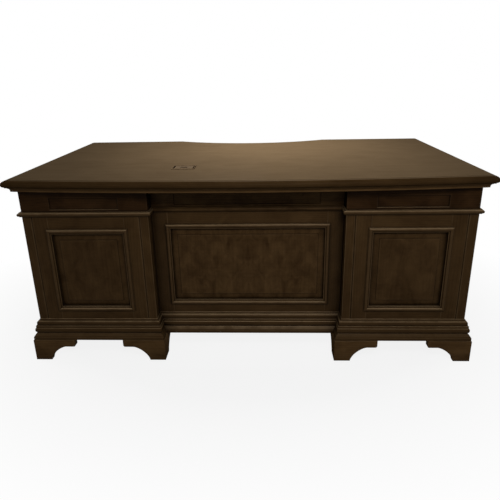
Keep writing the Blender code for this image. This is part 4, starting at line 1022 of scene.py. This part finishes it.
def raised_panel(bench, desk, span, matched):
    """Fielded panel; a matched one is two leaves of one veneer, opened like a book."""
    half = span / 2 - desk.stile_show - desk.mould_lap - HAIRLINE
    low, high = PANEL_FOOT + desk.mould_lap + HAIRLINE, PANEL_TOP - desk.mould_lap - HAIRLINE
    bevel = desk.mould_width - desk.mould_lap - HAIRLINE
    head = bevel + desk.bevel_width
    field = head + FIELD_STEP
    edge = [(0, -PANEL_BACK), (0, -PANEL_TONGUE), (-bevel, -PANEL_TONGUE), (-head, -BEVEL_HEAD),
            (-field, -desk.field_depth), (-field - 3 * GUARD, -desk.field_depth)]
    path = [(-half, low), (0, low), (half, low), (half, high), (0, high), (-half, high)]

    def wood(rings, ring, index, band):
        u, v, w = rings[ring][index % len(path)]
        return (v, abs(u), w) if matched else (v, u, w)

    bench.slab(path, edge, desk.ease * 0.6, wood, caps=[(0, 1, 4, 5), (1, 2, 3, 4)])


def panel_moulding(bench, desk, span):
    """Mitred moulding round a panel, with a crest between two fillets."""
    half = span / 2 - desk.stile_show
    leg = desk.mould_lap + HAIRLINE
    crest_half, rise = (desk.mould_width - MOULD_FLAT - MOULD_FILLET) / 2, desk.mould_crest - MOULD_EDGE
    section = [(0, HAIRLINE), (0, MOULD_EDGE)]
    for angle in spread(0, math.pi, 20):
        inset = MOULD_FILLET + crest_half * (1 - math.cos(angle))
        section.append((-inset, MOULD_EDGE + rise * math.sin(angle)))
    section += [(-desk.mould_width, MOULD_EDGE), (-desk.mould_width, HAIRLINE - PANEL_TONGUE),
                (-leg, HAIRLINE - PANEL_TONGUE), (-leg, HAIRLINE)]
    bench.run(rectangle(-half, half, PANEL_FOOT, PANEL_TOP), section, closed=True, ease=desk.ease * 0.5)


def make_walls(desk):
    """The modesty wall, and the front and end of each pedestal."""
    front_span = 2 * (PEDESTAL_HALF - desk.post)
    end_span = 2 * (CASE_HALF_DEPTH - desk.post)
    reach = CASE_HALF_DEPTH - desk.board - HAIRLINE
    walls = [("modesty", KNEE_FACE - HAIRLINE, 2 * KNEE_FACE, False,
              wall_stand(0, MODESTY_FACE, FACING_VISITOR))]
    for side, sign in SIDES:
        walls.append((side + "_front", PEDESTAL_HALF, front_span, True,
                      wall_stand(sign * PEDESTAL_X, VISITOR_FACE, FACING_VISITOR)))
        walls.append((side + "_end", reach, end_span, True,
                      wall_stand(sign * OUTER_FACE, CASE_Y, FACING_RIGHT if sign > 0 else FACING_LEFT)))
    for name, half, span, grooved, stand in walls:
        bench = Bench(name + "_frame", stand)
        frame_wall(bench, desk, half, span, grooved)
        bench.finish("case_wood")
        bench = Bench(name + "_panel", stand)
        matched = name == "modesty"
        raised_panel(bench, desk, span, matched)
        bench.finish("figured_panel" if matched else "panel_wood")
        bench = Bench(name + "_moulding", stand)
        panel_moulding(bench, desk, span)
        bench.finish("moulding_wood")


# Bases and feet


def base_section(desk):
    """Nose and slope, quirk, bead, band, neck and ogee cap."""
    reach = VISITOR_FACE - BASE_LOW.y

    def out(turn):
        inset, height = turn
        return reach - inset, desk.foot_height + height

    points = [(BACK_GAP, BASE_LOW.z), (reach, BASE_LOW.z)]
    points += [out(turn) for turn in (NOSE, SLOPE_FOOT, SLOPE_HEAD, QUIRK_FOOT, QUIRK_HEAD)]
    points += quarter_round(out(BEAD_FOOT), out(BEAD_CROWN), True, 10)
    points += quarter_round(out(BEAD_CROWN), out(BEAD_HEAD), False, 10)[1:] + [out(BAND), out(NECK_FOOT)]
    points += quarter_round(out(NECK_HEAD), out(OGEE), False) + quarter_round(out(OGEE), out(CAP), True)[1:]
    return points + [(BACK_GAP, BASE_HIGH.z)]


def make_bases(desk):
    for side, sign in SIDES:
        bench = Bench(side + "_base", side_stand(sign))
        bench.board((KNEE_FACE, VISITOR_FACE, BASE_LOW.z), (OUTER_FACE, USER_FACE, BASE_LOW.z + BASE_BOARD),
                    "X")
        bench.run(pedestal_path(True, desk.board), base_section(desk), before=Vector((1, 0)),
                  ease=desk.ease * 0.5)
        bench.finish("base_wood")
    bench = Bench("centre_base_moulding")
    end = KNEE_FACE - HAIRLINE
    bench.run([(-end, MODESTY_FACE), (end, MODESTY_FACE)], base_section(desk), before=Vector((0, 1)),
              after=Vector((0, -1)), ease=desk.ease * 0.5)
    bench.finish("moulding_wood")


def bracket_outline(desk, share=1.55, steps=26):
    """One face of a bracket foot: pad on the floor, curved rise, tab with a rounded end."""
    rise_end = desk.bracket_length - desk.tab_length
    tab_foot = desk.foot_height - desk.tab_height
    points = [(0, 0), (desk.pad, 0)]
    for step in range(1, steps + 1):
        angle = math.pi / 2 * step / steps
        along, upward = max(0, math.cos(angle)) ** (2 / share), math.sin(angle) ** (2 / share)
        points.append((rise_end - (rise_end - desk.pad) * along, tab_foot * upward))
    points += quarter_round((desk.bracket_length - TAB_ROUND, tab_foot),
                            (desk.bracket_length, tab_foot + TAB_ROUND), True, 8)
    return points + [(desk.bracket_length, desk.foot_height), (0, desk.foot_height)]


def bracket(bench, desk, along_x):
    """One bracket, mitred at the corner, with its face edges sanded round."""
    outline = [Vector(point) for point in bracket_outline(desk)]
    vectors, ease = mitres(outline, True), desk.ease
    levels = ((-GUARD, 0, 0), (-ease, 0, 0.7), (0, ease, 0.7), (0, GUARD, 0), (0, desk.bracket_thickness, 0))
    rings = []
    for out, depth, _ in levels:
        ring = []
        for point, vector in zip(outline, vectors):
            spot = point + vector * out
            along = depth if point.x == 0 else max(spot.x, depth)
            ring.append((along, depth, spot.y) if along_x else (depth, along, spot.y))
        rings.append(ring)

    def wood(ring, index, band):
        x, y, z = rings[ring][index % len(outline)]
        return (x, z, y) if along_x else (y, z, x)

    bench.skin(rings, lambda ring, index: levels[ring][2], wood)


def make_feet(desk):
    reach_x, reach_y = FOOT_HIGH.x - PEDESTAL_X, FOOT_HIGH.y - CASE_Y
    corners = ((-1, -1, "visitor_left"), (1, -1, "visitor_right"), (1, 1, "user_right"), (-1, 1, "user_left"))
    for side, sign in SIDES:
        for quarter, (x_sign, y_sign, corner) in enumerate(corners):
            place = Matrix.Translation((sign * PEDESTAL_X + x_sign * reach_x, CASE_Y + y_sign * reach_y, 0))
            bench = Bench(f"{side}_foot_{corner}", place @ Matrix.Rotation(quarter * math.pi / 2, 4, "Z"))
            bracket(bench, desk, True)
            bracket(bench, desk, False)
            near, far = desk.bracket_thickness, desk.bracket_thickness + BLOCK
            bench.board((near, near, BLOCK_LIFT), (far, far, desk.foot_height - HAIRLINE), "Z", desk.ease)
            # Painted light: the feet take the lit copy of the case stain.
            bench.finish("foot_wood")


# Carcasses behind the drawers


def drawer_openings():
    """Kind, floor and ceiling of each drawer opening, from the frame's drawer fronts."""
    found = []
    for kind in ("file_drawer", "upper_drawer", "frieze_drawer"):
        low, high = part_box(f"right_{kind}_front")
        found.append((kind, low.z - REVEAL, high.z + REVEAL))
    return found


def make_inner_side(desk, side, sign):
    bench = Bench(side + "_inner_side", side_stand(sign))
    bench.board((KNEE_FACE, VISITOR_FACE + desk.board, WALL_FOOT),
                (KNEE_FACE + desk.board, USER_FACE - desk.board - HAIRLINE, WAIST - HAIRLINE), "Z", desk.ease)
    bench.finish("case_wood")


def make_drawer_frame(desk, side, sign):
    """Face frame, dust boards and drawer guides of one pedestal."""
    head, inner = CASE_TOP - HAIRLINE, PEDESTAL_HALF - desk.post
    near, far = FRAME_LOW.y, USER_FACE - desk.board
    openings = drawer_openings()
    rail_feet = [WALL_FOOT] + [ceiling for _, _, ceiling in openings]
    rail_heads = [floor for _, floor, _ in openings] + [head]
    bench = Bench(side + "_drawer_frame", Matrix.Translation((sign * PEDESTAL_X, 0, 0)))
    for way in (-1, 1):
        left, right = sorted((way * inner, way * PEDESTAL_HALF))
        bench.board((left, far, WALL_FOOT), (right, USER_FACE, head), "Z", desk.ease)
    for low, high in zip(rail_feet, rail_heads):
        bench.board((-inner + HAIRLINE, far, low), (inner - HAIRLINE, USER_FACE, high), "X", desk.ease * 0.5)
    dust_half = PEDESTAL_HALF - desk.board - HAIRLINE
    for high in rail_heads[:3]:
        bench.board((-dust_half, near, high - DUST_BOARD), (dust_half, far, high), "X", desk.ease)
        for way in (-1, 1):
            left, right = sorted((way * dust_half, way * (inner - GUIDE_WIDTH)))
            bench.board((left, near, high), (right, USER_FACE - GUIDE_STOP, high + GUIDE_HEIGHT), "Y",
                        desk.ease)
    bench.finish("case_wood")


# Drawers


def field_front(bench, desk, half, height):
    """Drawer front with a raised field and a sloping border."""
    field = FRONT_BEVEL + FIELD_STEP
    edge = [(-3 * GUARD, -desk.front), (0, -desk.front), (0, -FRONT_EDGE), (-FRONT_BEVEL, -FRONT_STEP),
            (-field, 0), (-field - 3 * GUARD, 0)]
    bench.slab(rectangle(-half, half, 0, height), edge, desk.ease * 0.6)


def curved_front(bench, desk, half, height):
    """Drawer front that follows the concave edge, with a sunk panel between its plain ends."""
    section = [(-desk.front, 0), (0, 0), (0, SUNK_MARGIN), (-desk.frieze_depth, SUNK_MARGIN + FRIEZE_SLOPE)]
    section += [(out, height - z) for out, z in reversed(section)]
    sunk, sunk_marks = worked(section, desk.ease * 0.6)
    plain, plain_marks = [], []
    for (out, z), mark in zip(sunk, sunk_marks):
        filled = 0.8 * SUNK_MARGIN < z < height - 0.8 * SUNK_MARGIN
        plain.append((0 if filled else out, z))
        plain_marks.append(0 if filled else mark)
    panel = half - desk.centre_inset
    rings, marks = [], []
    for start, end, steps, points, exposed in ((-half, -panel, 10, plain, plain_marks),
                                               (-panel, panel, 64, sunk, sunk_marks),
                                               (panel, half, 10, plain, plain_marks)):
        for x in spread(start, end, steps):
            rings.append([(x, knee_curve_y(desk, x, desk.overhang - out), z) for out, z in points])
            marks.append(exposed)

    def wood(ring, index, band):
        x, y, z = rings[ring][index % len(sunk)]
        return x, z, y

    bench.skin(rings, lambda ring, index: marks[ring][index], wood)


def pull(bench, desk, centre_height, steps=40, sides=20):
    """Bow pull: a bar whose ends flare into round feet."""
    rings, marks = [], []
    for step in range(steps + 1):
        angle = math.pi * step / steps
        middle = Vector((-desk.pull_span / 2 * math.cos(angle), centre_height,
                         PULL_SEAT + desk.pull_reach * math.sin(angle)))
        flare = max(0, 1 - min(step, steps - step) / steps / PULL_FLARE) ** 2
        radius = desk.pull_bar + (desk.pull_foot - desk.pull_bar) * flare
        normal = Vector((desk.pull_reach * math.cos(angle), 0, -desk.pull_span / 2 * math.sin(angle)))
        normal.normalize()
        ring = []
        for side in range(sides):
            turn = 2 * math.pi * side / sides
            ring.append(middle + (normal * math.cos(turn) + Vector((0, math.sin(turn), 0))) * radius)
        rings.append(ring)
        marks.append(0.9 - 1.4 * flare)
    bench.skin(rings, lambda ring, index: marks[ring], lambda ring, index, band: rings[ring][index % sides],
               sawn=False)


def tray(bench, desk, low, high):
    """Drawer box of four boards on edge with the bottom let in."""
    side = desk.side
    floor = low.z + desk.bottom_lift
    for x in (low.x, high.x - side):
        bench.board((x, low.y, low.z), (x + side, high.y, high.z), "Y", desk.ease)
    for y in (low.y, high.y - side):
        bench.board((low.x + side + HAIRLINE, y, low.z), (high.x - side - HAIRLINE, y + side, high.z), "X",
                    desk.ease)
    bench.board((low.x + side, low.y + side, floor), (high.x - side, high.y - side, floor + desk.bottom), "X")


def pedestal_drawer(desk, sign, body, sunken):
    """Front, box and pull of one pedestal drawer."""
    low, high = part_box(body + "_front")
    stand = Matrix.Translation((sign * PEDESTAL_X, USER_FACE, low.z)) @ FACING_USER
    half, height = (high.x - low.x) / 2, high.z - low.z
    bench = Bench(body + "_front", stand)
    if sunken:
        panel = (SUNK_INSET - half, half - SUNK_INSET, SUNK_MARGIN, height - SUNK_MARGIN)
        bench.sunk((-half, half, 0, height), panel, desk.frieze_depth, FRIEZE_SLOPE, desk.front, desk.ease)
    else:
        field_front(bench, desk, half, height)
    bench.finish("case_wood", body)
    bench = Bench(body + "_box")
    tray(bench, desk, *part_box(body + "_box"))
    bench.finish("drawer_finish", body, "drawer_wood")
    seat = -desk.frieze_depth if sunken else 0
    bench = Bench(body + "_pull", stand @ Matrix.Translation((0, 0, seat)))
    pull(bench, desk, height / 2)
    bench.finish("aged_brass", body, "antique_brass")


def make_pedestal_drawers(desk):
    for side, sign in SIDES:
        for kind, _, _ in drawer_openings():
            pedestal_drawer(desk, sign, f"{side}_{kind}", kind == "frieze_drawer")


def make_centre_drawer(desk):
    body = "centre_drawer"
    front_low, front_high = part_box(body + "_front")
    height = front_high.z - front_low.z
    bench = Bench(body + "_front", Matrix.Translation((0, 0, front_low.z)))
    curved_front(bench, desk, front_high.x, height)
    bench.finish("case_wood", body)
    low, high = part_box(body + "_box")
    behind = desk.overhang + desk.front + HAIRLINE
    path = [(low.x, low.y), (high.x, low.y)]
    path += [(x, knee_curve_y(desk, x, behind)) for x in spread(high.x, low.x, 48)]
    inner, under = -desk.side, low.z + desk.bottom_lift
    floor = under + desk.bottom
    edge = [(inner, under), (inner, low.z), (0, low.z), (0, high.z), (inner, high.z), (inner, floor),
            (inner - 3 * GUARD, floor)]
    bench = Bench(body + "_box")
    bench.slab(path, edge, desk.ease)
    bench.finish("drawer_finish", body, "drawer_wood")
    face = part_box(body + "_pull")[1].y - desk.pull_reach - desk.pull_bar - PULL_SEAT
    bench = Bench(body + "_pull", Matrix.Translation((0, face, front_low.z)) @ FACING_USER)
    pull(bench, desk, height / 2)
    bench.finish("aged_brass", body, "antique_brass")


# Studio


def make_camera(studio):
    camera = bpy.data.cameras.new("camera")
    camera.lens = studio.lens
    camera.sensor_width = 36
    camera.shift_x, camera.shift_y = studio.shift
    camera.clip_end = 200
    turn_right, tilt, roll = studio.camera_turn
    turns = Matrix.Rotation(turn_right, 4, "Z") @ Matrix.Rotation(math.pi / 2 - tilt, 4, "X")
    item = new_object("camera", camera)
    item.matrix_world = Matrix.Translation(studio.camera_place) @ turns @ Matrix.Rotation(roll, 4, "Z")
    bpy.context.scene.camera = item


def soft_box(name, place, target, size, power):
    lamp = bpy.data.lights.new(name, "AREA")
    lamp.shape = "RECTANGLE"
    lamp.size, lamp.size_y = size
    lamp.energy = power
    item = new_object(name, lamp)
    item.location = place
    item.rotation_euler = (Vector(target) - Vector(place)).to_track_quat("-Z", "Y").to_euler()


def seen_white(tree):
    """1 for what the camera sees, directly, in gloss or through glass."""
    path = add_node(tree, "LightPath")
    seen = path.at("Is Camera Ray") + path.at("Is Glossy Ray")
    return seen.maths("ADD", path.at("Is Transmission Ray"), clamp=True)


def paper_material():
    """White paper that takes a faint shadow near the desk and is plain white farther out."""
    tree, shader = new_material("floor_paper")
    place = place_of(tree)
    paper = place.noise((3.0, 3.0, 3.0), 3.0).ranged(0.3, 0.7, 0.53, 0.56)
    feed(shader, {"Base Color": add_node(tree, "CombineColor", paper, paper, paper), "Roughness": 0.9,
                  "Specular IOR Level": 0.0})
    away = place.vector("MULTIPLY", (1.0, 1.4, 0.0)).vector("LENGTH").at("Value")
    fade = away.ranged(0.9, 1.8, 0.86, 1.0) * seen_white(tree)
    white = add_node(tree, "Emission", Color=WHITE, Strength=1.0)
    surface = add_node(tree, "MixShader", fade, Signal(shader.outputs[0]), white)
    feed(tree.nodes["Material Output"], {"Surface": surface})


def make_room(studio):
    """Paper floor, and light from all round that the camera sees as white."""
    bench = bmesh.new()
    bmesh.ops.create_grid(bench, x_segments=8, y_segments=8, size=60)
    mesh = bpy.data.meshes.new("studio_floor")
    bench.to_mesh(mesh)
    bench.free()
    paper_material()
    mesh.materials.append(bpy.data.materials["floor_paper"])
    floor = new_object("studio_floor", mesh)

    world = bpy.data.worlds.new("studio")
    bpy.context.scene.world = world
    world.use_nodes = True
    level = seen_white(world.node_tree).ranged(0.0, 1.0, studio.sky, 1.0)
    feed(world.node_tree.nodes["Background"], {"Color": WHITE, "Strength": level})


def make_studio(studio):
    make_camera(studio)
    soft_box("overhead_box", (0.08, 0.28, 1.69), (0.08, 0.28, 0.78), (0.6, 0.5), studio.overhead)
    soft_box("front_box", (0.32, -1.60, 1.65), (0.15, -0.4, 0.4), (0.8, 0.4), studio.front)
    soft_box("back_box", (-0.32, 1.75, 1.65), (-0.15, 0.44, 0.4), (0.8, 0.4), studio.back)
    for side in (-1, 1):
        soft_box("end_box", (side * 2.3, 0.1, 1.30), (side * 0.9, 0.0, 0.4), (0.5, 0.4), studio.ends)
    make_room(studio)
    view = bpy.context.scene.view_settings
    view.view_transform = "Standard"


# Operators, panel and registration


class DESK_OT_finishes(bpy.types.Operator):
    """Mix the stains, lacquers, brass and plastic"""

    bl_idname = "desk.mix_finishes"
    bl_label = "Finishes"

    def execute(self, context):
        make_finishes(context.scene.desk_finishes)
        return {"FINISHED"}


class DESK_OT_top(bpy.types.Operator):
    """Lay the bowed top and the coved board under it"""

    bl_idname = "desk.lay_top"
    bl_label = "Top"

    def execute(self, context):
        make_desk_top(context.scene.desk)
        make_sub_top(context.scene.desk)
        return {"FINISHED"}


class DESK_OT_power_unit(bpy.types.Operator):
    """Let the power unit into the top"""

    bl_idname = "desk.fit_power_unit"
    bl_label = "Power Unit"

    def execute(self, context):
        make_power_unit()
        return {"FINISHED"}


class DESK_OT_friezes(bpy.types.Operator):
    """Fit the friezes with their sunk panels, and the centre drawer's ledges"""

    bl_idname = "desk.fit_friezes"
    bl_label = "Friezes"

    def execute(self, context):
        make_friezes(context.scene.desk)
        return {"FINISHED"}


class DESK_OT_astragals(bpy.types.Operator):
    """Run the astragals round the waist"""

    bl_idname = "desk.run_astragals"
    bl_label = "Astragals"

    def execute(self, context):
        make_astragals(context.scene.desk)
        return {"FINISHED"}


class DESK_OT_walls(bpy.types.Operator):
    """Frame and panel the modesty wall and the pedestals"""

    bl_idname = "desk.panel_walls"
    bl_label = "Panelled Walls"

    def execute(self, context):
        make_walls(context.scene.desk)
        return {"FINISHED"}


class DESK_OT_bases(bpy.types.Operator):
    """Run the base mouldings"""

    bl_idname = "desk.run_bases"
    bl_label = "Bases"

    def execute(self, context):
        make_bases(context.scene.desk)
        return {"FINISHED"}


class DESK_OT_feet(bpy.types.Operator):
    """Set the bracket feet"""

    bl_idname = "desk.set_feet"
    bl_label = "Bracket Feet"

    def execute(self, context):
        make_feet(context.scene.desk)
        return {"FINISHED"}


class DESK_OT_carcasses(bpy.types.Operator):
    """Build the kneehole sides and the frames that carry the drawers"""

    bl_idname = "desk.build_carcasses"
    bl_label = "Carcasses"

    def execute(self, context):
        for side, sign in SIDES:
            make_inner_side(context.scene.desk, side, sign)
            make_drawer_frame(context.scene.desk, side, sign)
        return {"FINISHED"}


class DESK_OT_pedestal_drawers(bpy.types.Operator):
    """Make the six pedestal drawers"""

    bl_idname = "desk.make_pedestal_drawers"
    bl_label = "Pedestal Drawers"

    def execute(self, context):
        make_pedestal_drawers(context.scene.desk)
        return {"FINISHED"}


class DESK_OT_centre_drawer(bpy.types.Operator):
    """Make the curved centre drawer"""

    bl_idname = "desk.make_centre_drawer"
    bl_label = "Centre Drawer"

    def execute(self, context):
        make_centre_drawer(context.scene.desk)
        return {"FINISHED"}


class DESK_OT_studio(bpy.types.Operator):
    """Set up the camera, the soft boxes and the floor"""

    bl_idname = "desk.set_studio"
    bl_label = "Studio"

    def execute(self, context):
        make_studio(context.scene.desk_studio)
        return {"FINISHED"}


OPERATORS = (DESK_OT_finishes, DESK_OT_top, DESK_OT_power_unit, DESK_OT_friezes, DESK_OT_astragals,
             DESK_OT_walls, DESK_OT_bases, DESK_OT_feet, DESK_OT_carcasses, DESK_OT_pedestal_drawers,
             DESK_OT_centre_drawer, DESK_OT_studio)


class DESK_PT_pieces(bpy.types.Panel):
    """Pieces of the desk, in the order in which they are made"""

    bl_label = "Executive Desk"
    bl_idname = "DESK_PT_pieces"
    bl_space_type = "VIEW_3D"
    bl_region_type = "UI"
    bl_category = "Desk"

    def draw(self, context):
        for operator in OPERATORS:
            self.layout.operator(operator.bl_idname)
        for name in GROUPS:
            group = getattr(context.scene, name)
            box = self.layout.box()
            box.label(text=name.replace("_", " ").capitalize())
            for prop in group.bl_rna.properties:
                if not prop.is_readonly and prop.identifier != "name":
                    box.prop(group, prop.identifier)


GROUPS = {"desk": DeskSizes, "desk_finishes": Finishes, "desk_studio": StudioSettings}
CLASSES = (*GROUPS.values(), *OPERATORS, DESK_PT_pieces)


def register():
    for item in CLASSES:
        bpy.utils.register_class(item)
    for name, group in GROUPS.items():
        title = name.replace("_", " ").capitalize()
        pointer = bpy.props.PointerProperty(type=group, name=title, description="Settings of the desk")
        setattr(bpy.types.Scene, name, pointer)


def unregister():
    for name in GROUPS:
        delattr(bpy.types.Scene, name)
    for item in reversed(CLASSES):
        bpy.utils.unregister_class(item)


def corners(box):
    return [[float(value) for value in corner] for corner in box]


def main():
    register()
    for operator in OPERATORS:
        group, name = operator.bl_idname.split(".")
        getattr(getattr(bpy.ops, group), name)()


if __name__ == "__main__":
    main()
